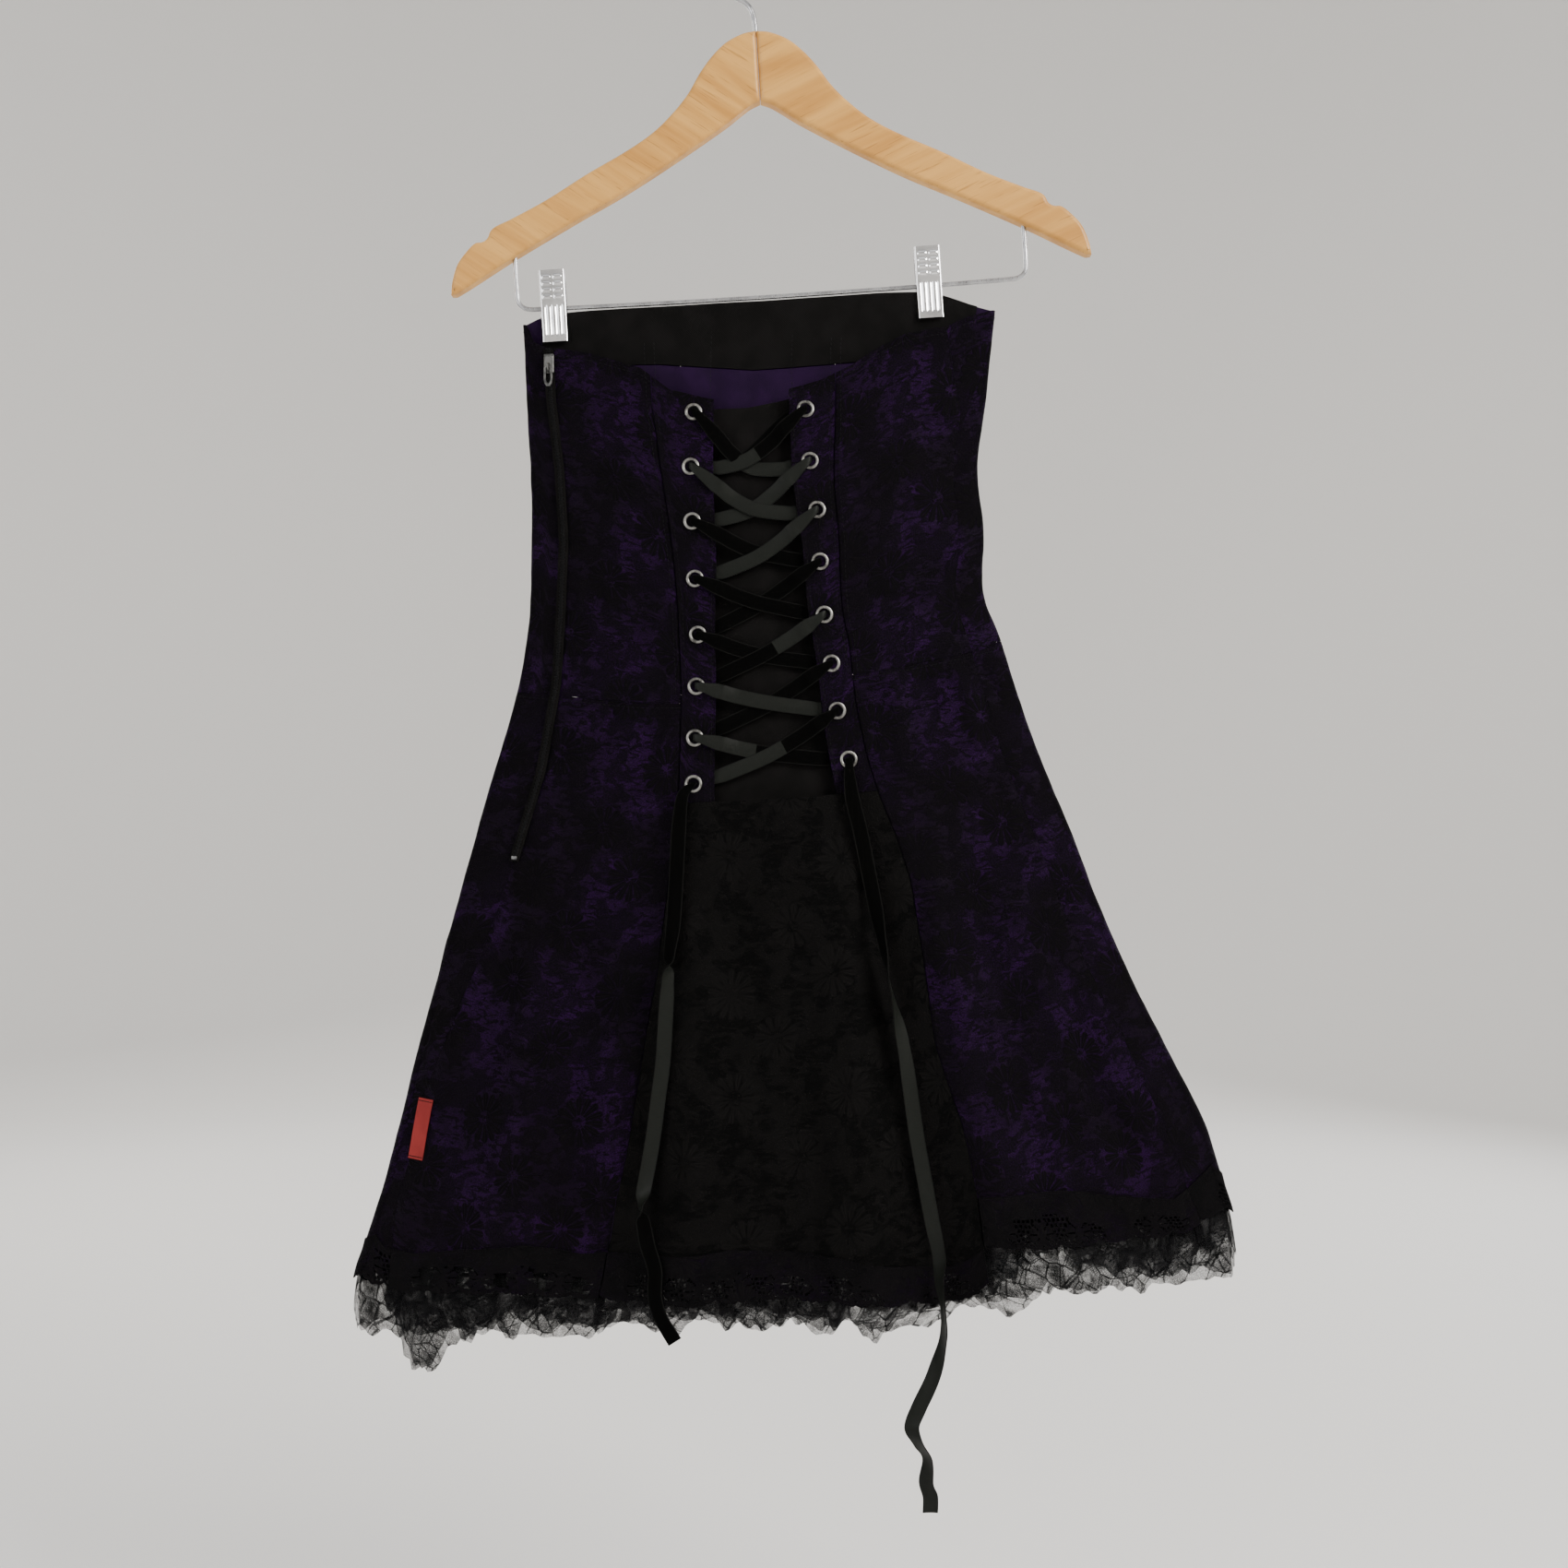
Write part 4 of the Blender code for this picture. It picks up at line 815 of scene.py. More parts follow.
def daisies(tree, spot, shift, petals, reach):
    """Thread cover of one daisy in each repeat, a little moved and turned from one to the next."""
    wide, high = LACE_REPEAT
    moved = move(tree, "ADD", spot, (*shift, 0.0))
    cell = move(tree, "FLOOR", move(tree, "DIVIDE", moved, (wide, high, 1.0)))
    chance = tree.nodes.new("ShaderNodeTexWhiteNoise")
    chance.noise_dimensions = "2D"
    tree.links.new(cell, chance.inputs["Vector"])
    middle = move(tree, "MULTIPLY", move(tree, "ADD", cell, (0.5, 0.5, 0.0)), (wide, high, 0.0))
    off = move(tree, "MULTIPLY", move(tree, "SUBTRACT", chance.outputs["Color"], (0.5, 0.5, 0.5)), (20.0, 20.0, 0.0))
    local = move(tree, "SUBTRACT", move(tree, "SUBTRACT", moved, middle), off)
    apart = tree.nodes.new("ShaderNodeSeparateXYZ")
    tree.links.new(local, apart.inputs[0])
    radius = move(tree, "LENGTH", local)
    angle = calc(tree, "ARCTAN2", apart.outputs["Y"], apart.outputs["X"])
    angle = calc(tree, "MULTIPLY_ADD", chance.outputs["Value"], 6.28, angle)
    petal = calc(tree, "ABSOLUTE", calc(tree, "COSINE", calc(tree, "MULTIPLY", angle, 0.5 * petals)))
    edge = calc(tree, "MULTIPLY_ADD", calc(tree, "POWER", petal, 0.5), 0.34 * reach, 0.68 * reach)
    within = soft_step(tree, calc(tree, "SUBTRACT", edge, radius), -0.5, 0.7)
    split = soft_step(tree, petal, 0.12, 0.34)
    rays = soft_step(tree, calc(tree, "ABSOLUTE", calc(tree, "SINE", calc(tree, "MULTIPLY", angle, 1.5 * petals))), 0.1, 0.5)
    beyond = soft_step(tree, radius, 0.25 * reach, 0.30 * reach)
    petal_cover = calc(tree, "MULTIPLY", calc(tree, "MULTIPLY", within, split), calc(tree, "MULTIPLY_ADD", rays, 0.4, 0.6))
    petal_cover = calc(tree, "MULTIPLY", petal_cover, beyond)
    dots = soft_step(tree, cells(tree, spot, 0.42), 0.45, 0.25)
    heart = calc(tree, "MULTIPLY", soft_step(tree, radius, 0.25 * reach, 0.22 * reach), dots)
    return calc(tree, "MAXIMUM", petal_cover, heart)


def lace_threads(tree, spot):
    """How much of the net the lace's threads cover, from bare net to solid flower."""
    cover = None
    for shift, petals, reach in DAISIES:
        flower = daisies(tree, spot, shift, petals, reach)
        cover = flower if cover is None else calc(tree, "MAXIMUM", cover, flower)
    slant = tree.nodes.new("ShaderNodeMapping")
    tree.links.new(spot, slant.inputs["Vector"])
    slant.inputs["Rotation"].default_value = (0.0, 0.0, 0.7)
    slant.inputs["Scale"].default_value = (0.055, 0.13, 1.0)
    leaves = soft_step(tree, clouds(tree, slant.outputs["Vector"], 1.7, 3.0, 1.3), 0.52, 0.57)
    twig = calc(tree, "ABSOLUTE", calc(tree, "SUBTRACT", clouds(tree, slant.outputs["Vector"], 2.6, 2.0, 1.6), 0.47))
    vein = soft_step(tree, twig, 0.030, 0.012)
    patch = soft_step(tree, clouds(tree, spot, 0.05, 5.0, 0.8), 0.48, 0.54)
    ground = calc(tree, "MAXIMUM", calc(tree, "MAXIMUM", leaves, vein), calc(tree, "MULTIPLY", patch, 0.92))
    stitch = soft_step(tree, clouds(tree, spot, 0.9, 2.0), 0.35, 0.6, 0.65, 1.0)
    return calc(tree, "MAXIMUM", cover, calc(tree, "MULTIPLY", ground, stitch))


def lace_cloth(name, ground, thread, sheer, under_share):
    """Black lace over a ground cloth, or over the dark inside of the skirt."""
    mat, tree, shader = finish(name, 0.72, Specular_IOR_Level=0.045)
    spot = on_map(tree, 1000.0)
    cover = lace_threads(tree, spot)
    net = soft_step(tree, cells(tree, spot, 0.62, "DISTANCE_TO_EDGE"), 0.16, 0.05)
    shade = soft_step(tree, clouds(tree, spot, 0.016, 3.0, 0.5), 0.40, 0.62, 0.06, 1.0)
    through = calc(tree, "MULTIPLY", soft_step(tree, net, 0.0, 1.0, under_share, 0.35 * under_share), shade)
    base = blend_colour(tree, through, (*sheer, 1.0), (*ground, 1.0))
    tree.links.new(blend_colour(tree, cover, base, (*thread, 1.0)), shader.inputs["Base Color"])
    height = calc(tree, "MAXIMUM", cover, calc(tree, "MULTIPLY", net, 0.35))
    emboss(tree, shader, height, 0.8)
    tree.links.new(soft_step(tree, cover, 0.0, 1.0, 0.55, 0.8), shader.inputs["Roughness"])
    return mat


def weave(name, colour, second, roughness, threads, **settings):
    """Plain woven cloth with its threads and a little unevenness of colour."""
    mat, tree, shader = finish(name, roughness, **settings)
    spot = on_map(tree, 1000.0)
    apart = tree.nodes.new("ShaderNodeSeparateXYZ")
    tree.links.new(spot, apart.inputs[0])
    warp = calc(tree, "SINE", calc(tree, "MULTIPLY", apart.outputs["X"], threads))
    weft = calc(tree, "SINE", calc(tree, "MULTIPLY", apart.outputs["Y"], threads))
    height = calc(tree, "MULTIPLY", warp, weft)
    tone = soft_step(tree, clouds(tree, spot, 0.05, 5.0), 0.35, 0.65)
    tone = calc(tree, "MULTIPLY_ADD", height, 0.12, tone)
    tree.links.new(blend_colour(tree, tone, (*colour, 1.0), (*second, 1.0)), shader.inputs["Base Color"])
    emboss(tree, shader, calc(tree, "MULTIPLY_ADD", height, 0.5, 0.5), 0.12)
    return mat


def tulle_net(name):
    """Sheer net: thin where single, and creased into darker lines."""
    mat, tree, shader = finish(name, 0.85, Specular_IOR_Level=0.04)
    spot = on_map(tree, 1000.0)
    net = soft_step(tree, cells(tree, spot, 0.75, "DISTANCE_TO_EDGE"), 0.2, 0.06)
    veil = soft_step(tree, clouds(tree, spot, 0.09, 4.0, 0.4), 0.3, 0.7, 0.40, 0.72)
    crumple = soft_step(tree, cells(tree, spot, 0.07, "DISTANCE_TO_EDGE"), 0.05, 0.0, 0.0, 0.35)
    cover = calc(tree, "ADD", calc(tree, "MULTIPLY_ADD", net, 0.22, veil), crumple)
    tree.links.new(calc(tree, "MINIMUM", cover, 0.96), shader.inputs["Alpha"])
    tone = blend_colour(tree, clouds(tree, spot, 0.3), (0.0015, 0.0015, 0.0018, 1.0), (0.006, 0.006, 0.0065, 1.0))
    tree.links.new(tone, shader.inputs["Base Color"])
    return mat


def ribbon_face(name, colour, selvage, roughness, grain, **settings):
    """One side of the ribbon, with its lighter woven edges."""
    mat, tree, shader = finish(name, roughness, **settings)
    spot = on_map(tree, 1000.0)
    apart = tree.nodes.new("ShaderNodeSeparateXYZ")
    tree.links.new(spot, apart.inputs[0])
    edge = soft_step(tree, calc(tree, "ABSOLUTE", apart.outputs["X"]), 4.1, 4.7)
    pile = clouds(tree, move(tree, "MULTIPLY", spot, (grain, 1.0, 1.0)), 1.6, 3.0)
    tone = blend_colour(tree, pile, (*(0.7 * c for c in colour), 1.0), (*(1.3 * c for c in colour), 1.0))
    tree.links.new(blend_colour(tree, edge, tone, (*selvage, 1.0)), shader.inputs["Base Color"])
    emboss(tree, shader, pile, 0.1)
    return mat


def metal(name, bright, dull, roughness, wear):
    """Plated metal with faint smears and a duller film in patches."""
    mat, tree, shader = finish(name, roughness, 1.0)
    spot = on_piece(tree)
    film = soft_step(tree, clouds(tree, spot, wear, 5.0, 0.3), 0.4, 0.7)
    tree.links.new(blend_colour(tree, film, (*bright, 1.0), (*dull, 1.0)), shader.inputs["Base Color"])
    smear = clouds(tree, move(tree, "MULTIPLY", spot, (4.0, 4.0, 0.4)), 260.0, 3.0)
    tree.links.new(soft_step(tree, smear, 0.3, 0.7, 0.75 * roughness, 1.5 * roughness), shader.inputs["Roughness"])
    emboss(tree, shader, smear, 0.02)
    return mat


def wood(name, slope):
    """Pale varnished wood, its grain running down one arm."""
    mat, tree, shader = finish(name, 0.4, Specular_IOR_Level=0.3, Coat_Weight=0.1, Coat_Roughness=0.2)
    spot = on_piece(tree, (0.0, slope, 0.0), (1.0, 1.0, 1.0))
    fibre = clouds(tree, move(tree, "MULTIPLY", spot, (9.0, 260.0, 260.0)), 1.0, 6.0, 0.3)
    figure = clouds(tree, move(tree, "MULTIPLY", spot, (5.0, 40.0, 46.0)), 1.0, 3.0, 1.1)
    pores = soft_step(tree, clouds(tree, move(tree, "MULTIPLY", spot, (40.0, 900.0, 900.0)), 1.0, 2.0), 0.62, 0.72)
    tone = calc(tree, "MULTIPLY_ADD", figure, 0.7, calc(tree, "MULTIPLY", fibre, 0.3))
    warm = blend_colour(tree, soft_step(tree, tone, 0.32, 0.68), (0.64, 0.335, 0.082, 1.0), (0.47, 0.215, 0.042, 1.0))
    share = calc(tree, "MULTIPLY", pores, 0.55)
    tree.links.new(blend_colour(tree, share, warm, (0.28, 0.115, 0.022, 1.0)), shader.inputs["Base Color"])
    emboss(tree, shader, calc(tree, "SUBTRACT", fibre, calc(tree, "MULTIPLY", pores, 0.4)), 0.06)
    return mat


def plain(name, colour, roughness):
    mat, tree, shader = finish(name, roughness, Specular_IOR_Level=0.12)
    tone = clouds(tree, on_piece(tree), 900.0, 2.0)
    low = (*(0.8 * c for c in colour), 1.0)
    tree.links.new(blend_colour(tree, tone, low, (*colour, 1.0)), shader.inputs["Base Color"])
    return mat


# The dress

def dress_lines():
    """Every seam and edge of the dress, read once."""
    Lines = namedtuple(
        "Lines", "neck waist foot side_l side_r rib_l rib_r edge_l edge_r front_l front_r hem_l hem_r hem_inset low",
    )
    hem_front = level(HEM_ROW)
    return Lines(
        neck=around(level_line(NECKLINE_BACK), level_line(TOP_FRONT, front=True)),
        waist=around(level_line(WAIST_BACK), level(WAIST_ROW)),
        foot=level_line(PLACKET_FOOT),
        side_l=side_line(SIDE_SEAM_LEFT),
        side_r=side_line(SIDE_SEAM_RIGHT),
        rib_l=side_line(CENTRE_SEAM_LEFT),
        rib_r=side_line(CENTRE_SEAM_RIGHT),
        edge_l=side_line(PLACKET_EDGE_LEFT),
        edge_r=side_line(PLACKET_EDGE_RIGHT),
        front_l=level(on_front(FRONT_SEAMS[0])),
        front_r=level(on_front(FRONT_SEAMS[1])),
        hem_l=around(level_line(HEM_BACK_LEFT), hem_front),
        hem_r=around(level_line(HEM_BACK_RIGHT), hem_front),
        hem_inset=level_line(HEM_INSET),
        low=around(level_line(TULLE_LOW), moved_down(hem_front, TULLE_FRONT_DROP)),
    )


def sew_bodice(line, lace, lining, twill):
    cloths = (lace, lining)
    parts = (
        ("back_left", line.side_l, line.rib_l), ("back_right", line.rib_r, line.side_r),
        ("front_right", line.side_r, line.front_r), ("front_centre", line.front_r, line.front_l),
        ("front_left", line.front_l, turn_on(line.side_l)),
    )
    for name, left, right in parts:
        node = f"bodice_{name}"
        panel(f"{node}_cloth", [node], cloths, left, right, line.neck, line.waist, FINE_CELL)
    for side, left, right in (("left", line.rib_l, line.edge_l), ("right", line.edge_r, line.rib_r)):
        left = moved_along(left, PLACKET_CLEAR)
        right = moved_along(right, -PLACKET_CLEAR)
        panel(
            f"placket_{side}_cloth", [f"placket_{side}"], cloths, left, right,
            line.neck, line.foot, FINE_CELL, PLACKET_WALL, placket_lift,
        )
    panel(
        "modesty_panel_cloth", ["modesty_panel"], (twill,),
        moved_along(line.edge_l, -MODESTY_LAP), moved_along(line.edge_r, MODESTY_LAP),
        moved_down(line.neck, MODESTY_DROP), line.foot, FINE_CELL, MODESTY_WALL, modesty_lift,
    )
    facing = around(level_line(NECKLINE_BACK), level_line(FACING_FOOT, front=True))
    inside = -(0.5 * WALL + SEAM_GAP + 0.5 * FACING_WALL + 0.3)
    left, right = (level(on_front(place)) for place in FACING_SIDES)
    panel(
        "front_facing_cloth", ["front_facing"], (twill,), right, left, line.neck, facing,
        FINE_CELL, FACING_WALL, lambda a, b, t, v: inside - 0.1 + relief(t, v),
    )
    left, right = (level(on_front(place)) for place in LINING_SIDES)
    panel(
        "front_lining_cloth", ["front_lining"], (lining,), right, left,
        moved_down(facing, 0.6), moved_down(line.waist, -LINING_OVERLAP), PLAIN_CELL, FACING_WALL,
        lambda a, b, t, v: inside - 0.5 - 1.4 * abs(noise.noise(cloth(t, v) * 0.03)) + relief(t, v),
    )


def placket_lift(a, b, t, v):
    """A placket lies flat: boned beside its eyelets, stitched down in channels."""
    channel = math.exp(-((a - 0.12) / 0.035) ** 2) + math.exp(-((a - 0.88) / 0.035) ** 2)
    return 0.3 * relief(t, v) - 0.35 * channel


def modesty_lift(a, b, t, v):
    spot = cloth(t, v)
    folds = 1.2 * math.sin(spot.z * 0.05 + 1.0) + 0.8 * math.sin(spot.z * 0.12 + spot.x * 0.05)
    return -MODESTY_DEPTH - 0.6 + 0.5 * folds * math.sin(math.pi * a)


def lace_drop(length):
    """The lace's scalloped edge: shallow arcs, each with small loops."""
    def drop(a, b):
        along = a * length
        arc = abs(math.sin(math.pi * along / SCALLOP_PITCH)) ** 0.7
        loops = abs(math.sin(math.pi * along / LOOP_PITCH))
        return (SCALLOP_DEPTH * (arc - 0.5) + LOOP_DEPTH * loops) * max(0.0, 2.0 * b - 1.0)
    return drop


def open_lace(obj, columns, rows):
    """Cut the net's holes and the slits between the petals out of the border."""
    holes = []
    per_scallop = SCALLOP_PITCH / LACE_CELL
    for face in obj.data.polygons:
        row, column = rows - 1 - face.index // columns, face.index % columns
        from_edge = (rows - 1 - row) * LACE_CELL
        x = (column % per_scallop - 0.5 * per_scallop) * LACE_CELL
        z = from_edge - 0.42 * HEM_BAND
        reach, angle = math.hypot(x, z), math.atan2(z, x)
        patch = noise.noise(Vector((column * LACE_CELL * 0.035, row * LACE_CELL * 0.03, 2.0)))
        if from_edge < 2.0 or row < 2 or from_edge > HEM_BAND * (0.45 + 0.9 * patch) or patch < -0.12:
            continue
        if reach < 9.0:
            hole = reach > 3.4 and abs(math.sin(4.0 * angle)) < 0.3
        else:
            hole = (column + 2 * (row // 3)) % 3 != 0 and row % 3 != 0
        if hole:
            holes.append(face.index)
    pick(obj)
    bpy.ops.object.mode_set(mode="EDIT")
    bpy.ops.mesh.select_all(action="DESELECT")
    bpy.ops.object.mode_set(mode="OBJECT")
    for index in holes:
        obj.data.polygons[index].select = True
    bpy.ops.object.mode_set(mode="EDIT")
    bpy.ops.mesh.select_mode(type="FACE")
    bpy.ops.mesh.delete(type="FACE")
    bpy.ops.object.mode_set(mode="OBJECT")


def sew_skirt(line, lace, lining, black_lace, border, tulle):
    Piece = namedtuple("Piece", "name left right top hem cloths slot waves")
    over = (lace, lining)
    inset_l, inset_r = moved_along(line.rib_l, INSET_CLEAR), moved_along(line.rib_r, -INSET_CLEAR)
    end_l = turn_on(line.side_l)
    pieces = (
        Piece("back_left", line.side_l, line.rib_l, line.waist, line.hem_l, over, "lace_over_satin", 6),
        Piece("inset", inset_l, inset_r, line.foot, line.hem_inset, (black_lace,), "black_lace", 10),
        Piece("back_right", line.rib_r, line.side_r, line.waist, line.hem_r, over, "lace_over_satin", 6),
        Piece("front_right", line.side_r, line.front_r, line.waist, line.hem_r, over, "lace_over_satin", 8),
        Piece("front_centre", line.front_r, line.front_l, line.waist, line.hem_l, over, "lace_over_satin", 8),
        Piece("front_left", line.front_l, end_l, line.waist, line.hem_l, over, "lace_over_satin", 8),
    )
    for number, piece in enumerate(pieces):
        lining_hem = moved_down(piece.hem, -HEM_BAND)
        below = moved_down(piece.hem, HEM_CLEAR - HEM_BAND)
        panel(
            f"skirt_{piece.name}_cloth", [f"skirt_{piece.name}"], piece.cloths,
            piece.left, piece.right, piece.top, lining_hem, FINE_CELL,
        )
        hem_border(piece, below, border)
        for layer in range(2):
            flounce(piece, below, line.low, number, layer, tulle)


def hem_border(piece, below, border):
    def lift(a, b, t, v):
        over = 0.7 * max(0.0, 1.0 - b / 0.3)
        return 0.5 * (LACE_WALL + LAYER_GAP) + over + relief(t, v) * (1.0 - 0.3 * b)

    below = moved_down(below, -4.0)
    smooth_spots = panel_spots(piece.left, piece.right, below, piece.hem, 12.0, lift)
    (length, _), _ = flat_size(smooth_spots)
    spots = panel_spots(
        piece.left, piece.right, below, piece.hem, LACE_CELL, lift, lace_drop(length / MM),
    )
    obj = woven(f"hem_lace_{piece.name}_border", spots, flat_map(spots))
    open_lace(obj, len(spots[0]) - 1, len(spots) - 1)
    dress_in(obj, border)
    thicken(obj, LACE_WALL)
    settle(obj)
    soften(obj, 60)
    fit(obj, [f"hem_lace_{piece.name}"])


def flounce(piece, below, low, number, layer, tulle):
    """A strip of gathered tulle, its raw edge torn into uneven points."""
    shift = 3.7 * number + 1.9 * layer
    waves = piece.waves + 3 * layer

    def lift(a, b, t, v):
        from_fold = min(abs(t % ROUND - fold) for fold in (0.0, 1.0, FRONT_START, FRONT_END, ROUND))
        room = 0.3 if in_cap(t) else min(1.0, 0.3 + 6.0 * from_fold)
        phase = 2.0 * math.pi * waves * a + 1.6 * math.sin(3.0 * a + shift)
        wave = 0.5 - 0.5 * math.cos(phase)
        fine = 0.5 + 0.5 * noise.noise(Vector((a * 24.0 + shift + 1.5 * b, b * 1.1, shift)))
        fold = 1.0 - abs(2.0 * ((a * 17.0 + 0.6 * b + 0.8 * math.sin(9.0 * a + shift)) % 1.0) - 1.0)
        depth = TULLE_DEPTH * (0.5 * wave + 0.35 * fine + 0.3 * fold) * b ** 0.7
        return -0.5 - LAYER_GAP - 2.2 * layer - room * (2.0 * b + depth)

    def drop(a, b):
        ragged = 15.0 * noise.noise(Vector((a * 9.0 + shift, 4.0, 0.0))) + 7.0 * noise.noise(Vector((a * 34.0, shift, 0.0)))
        return (ragged - 6.0 * layer) * b * b

    spots = panel_spots(
        moved_along(piece.left, -TULLE_LAP), moved_along(piece.right, TULLE_LAP),
        moved_down(below, -TULLE_LAP), low, TULLE_CELL, lift, drop,
    )
    name = f"tulle_{piece.name}_{'outer' if layer == 0 else 'inner'}"
    obj = woven(name, spots, flat_map(spots))
    dress_in(obj, tulle)
    soften(obj, 70)
    fit(obj, [f"tulle_{piece.name}"])


# Repeated small things

def copied(name, model, places):
    """One piece of many copies of a model, each with its own place in millimetres."""
    points, faces = [], []
    for place in places:
        start = len(points)
        points += [place @ vert.co for vert in model.data.vertices]
        faces += [[start + k for k in face.vertices] for face in model.data.polygons]
    mesh = bpy.data.meshes.new(name)
    mesh.from_pydata([point * MM for point in points], [], faces)
    obj = bpy.data.objects.new(name, mesh)
    bpy.context.scene.collection.objects.link(obj)
    mesh.shade_smooth()
    return obj


def frame_on(t, v, lift, travel=None):
    """Place in millimetres on the cloth: X along the seam, Y into the cloth, Z up it."""
    out = outward(t, v)
    side = (travel or (cloth(t + 0.004, v) - cloth(t - 0.004, v))).normalized()
    up = side.cross(-out).normalized()
    return Matrix.Translation(lifted(t, v, lift)) @ Matrix((side, -out, up)).transposed().to_4x4()


def thread_model():
    deselect()
    bpy.ops.mesh.primitive_uv_sphere_add(segments=6, ring_count=4, radius=1.0)
    model = newest("stitch_model")
    for vert in model.data.vertices:
        vert.co = Vector((vert.co.z * 1.25, vert.co.y * 0.26, vert.co.x * 0.26))
    return model


def stitch_row(places, pitch=STITCH_PITCH):
    """Stitches along a row of t, v, lift places."""
    points = [(lifted(t, v, lift), t, v, lift) for t, v, lift in places]
    frames = []
    wait = 0.0
    for (a, t, v, lift), (b, *_) in zip(points, points[1:]):
        step = (b - a).length
        wait += step
        if wait >= pitch:
            wait -= pitch
            frames.append(frame_on(t, v, lift, b - a))
    return frames


def stitching(line, thread):
    """Topstitching beside the plackets, the neckline and the waist."""
    model = thread_model()
    frames = []
    fine = [k / 700 for k in range(701)]
    for rib, edge in ((line.rib_l, line.edge_l), (line.rib_r, line.edge_r)):
        for seam, off in ((rib, 3.4), (rib, -3.4), (edge, 3.0 if edge is line.edge_r else -3.0)):
            beside = moved_along(seam, off)
            first, last = RIB_STITCH_ROWS if seam is rib else EDGE_STITCH_ROWS
            rows = [first + (last - first) * s for s in fine]
            frames += stitch_row([(beside(v), v, 0.5 * WALL + 0.1 + relief(beside(v), v)) for v in rows])
    neck = moved_down(line.neck, 5.0)
    waist = moved_down(line.waist, 3.0)
    for level_seam, left, right in ((neck, line.edge_l, line.edge_r), (waist, line.rib_l, line.rib_r)):
        places = []
        for k in range(ROUND_STEPS + 1):
            t = ROUND * (k / ROUND_STEPS)
            v = level_seam(t)
            if not left(v) < t < right(v):
                places.append((t, v, 0.5 * WALL + 0.1 + relief(t, v)))
        frames += stitch_row(places)
    obj = copied("topstitching", model, frames)
    bpy.data.objects.remove(model)
    dress_in(obj, thread)
    fit(obj)


# Eyelets and ribbon

def set_eyelets(nickel):
    deselect()
    bpy.ops.mesh.primitive_torus_add(major_segments=40, minor_segments=14, major_radius=4.75, minor_radius=1.35)
    model = newest("eyelet_model")
    for vert in model.data.vertices:
        radius = math.hypot(vert.co.x, vert.co.y)
        vert.co.z *= 0.62
        if radius < 4.1:
            vert.co.z -= (4.1 - radius) * 3.2
    for side in EYELETS:
        for number, (x, z) in enumerate(EYELETS[side], start=1):
            place = frame_on(*place_of(x, z), 0.5 * PLACKET_WALL + 0.55) @ Matrix.Rotation(math.radians(90), 4, "X")
            obj = copied(f"eyelet_{side}_{number}_ring", model, [place])
            dress_in(obj, nickel)
            fit(obj, [f"eyelet_{side}_{number}"])
    bpy.data.objects.remove(model)


# The ribbon's crossings from the top: side it starts on, how far it sags, faces it shows at its start and end
Crossing = namedtuple("Crossing", "side row sag first last")
CROSSINGS = (
    Crossing("left", 0, 20, "velvet", "satin"), Crossing("right", 0, 15, "velvet", "satin"),
    Crossing("left", 1, 13, "satin", "satin"), Crossing("right", 1, 12, "satin", "satin"),
    Crossing("left", 2, 6, "velvet", "velvet"), Crossing("right", 2, 8, "satin", "satin"),
    Crossing("left", 3, 3, "velvet", "velvet"), Crossing("right", 3, 3, "velvet", "velvet"),
    Crossing("left", 4, 3, "velvet", "velvet"), Crossing("right", 4, 4, "satin", "velvet"),
    Crossing("left", 5, 2, "satin", "satin"), Crossing("right", 5, 4, "velvet", "velvet"),
    Crossing("left", 6, 2, "satin", "velvet"), Crossing("right", 6, 4, "velvet", "satin"),
)


def crossing_way(start, end, edges, over, sag):
    """Stations of one crossing, from behind one eyelet to behind the next on the other side."""
    heading = 1.0 if end[0] > start[0] else -1.0

    def at(s):
        return start[0] + (end[0] - start[0]) * s, start[1] + (end[1] - start[1]) * s

    def on_edge(line):
        for step in range(101):
            t, v = at(step / 100)
            if (t - line(v)) * heading > 0:
                return step / 100
        return 1.0

    leave, arrive = on_edge(edges[0]), on_edge(edges[1])
    middle = OVER_PANEL if over else UNDER_STRAND
    full = RIBBON_WIDTH
    plan = (
        (0.0, -1.5, EYELET_WIDTH), (0.0, 2.7, EYELET_WIDTH), (0.06, 3.3, 6.5), (0.6 * leave + 0.03, 2.4, 9.0),
        (leave, 2.0, full), (leave + 0.05, 1.7, full), (leave + 0.14, -2.2, full), (0.5, middle, full),
        (arrive - 0.08, -3.6, full), (arrive, -3.5, 9.0), (0.5 * (arrive + 0.94), -3.4, 7.5),
        (0.94, -3.3, 5.5), (1.0, -2.8, EYELET_WIDTH),
    )
    stations = []
    travel = cloth(*end) - cloth(*start)
    for s, lift, width in plan:
        t, v = at(s)
        slack = sag * math.sin(math.pi * min(1.0, max(0.0, s))) ** 1.3
        v = moved_down(level(v), slack)(t)
        slope = sag * math.pi * math.cos(math.pi * s)
        side = outward(t, v).cross(travel - Vector((0.0, 0.0, slope)))
        if side.z < 0:
            side = -side
        if s in (0.0, 1.0):
            side = Vector((0, 0, 1))
        stations.append((lifted(t, v, lift), side.normalized(), width))
    return stations


def smoothed(stations, steps):
    """More stations along the same way, on a smooth curve."""
    fine = []
    last = len(stations) - 1
    for k in range(last):
        near = [stations[min(max(k + j, 0), last)] for j in (-1, 0, 1, 2)]
        for step in range(steps):
            s = step / steps
            middle = Vector([between(*(near[j][0][axis] for j in range(4)), s) for axis in range(3)])
            side = near[1][1].lerp(near[2][1], s * s * (3.0 - 2.0 * s)).normalized()
            fine.append((middle, side, near[1][2] + (near[2][2] - near[1][2]) * s))
    fine.append(stations[-1])
    return fine


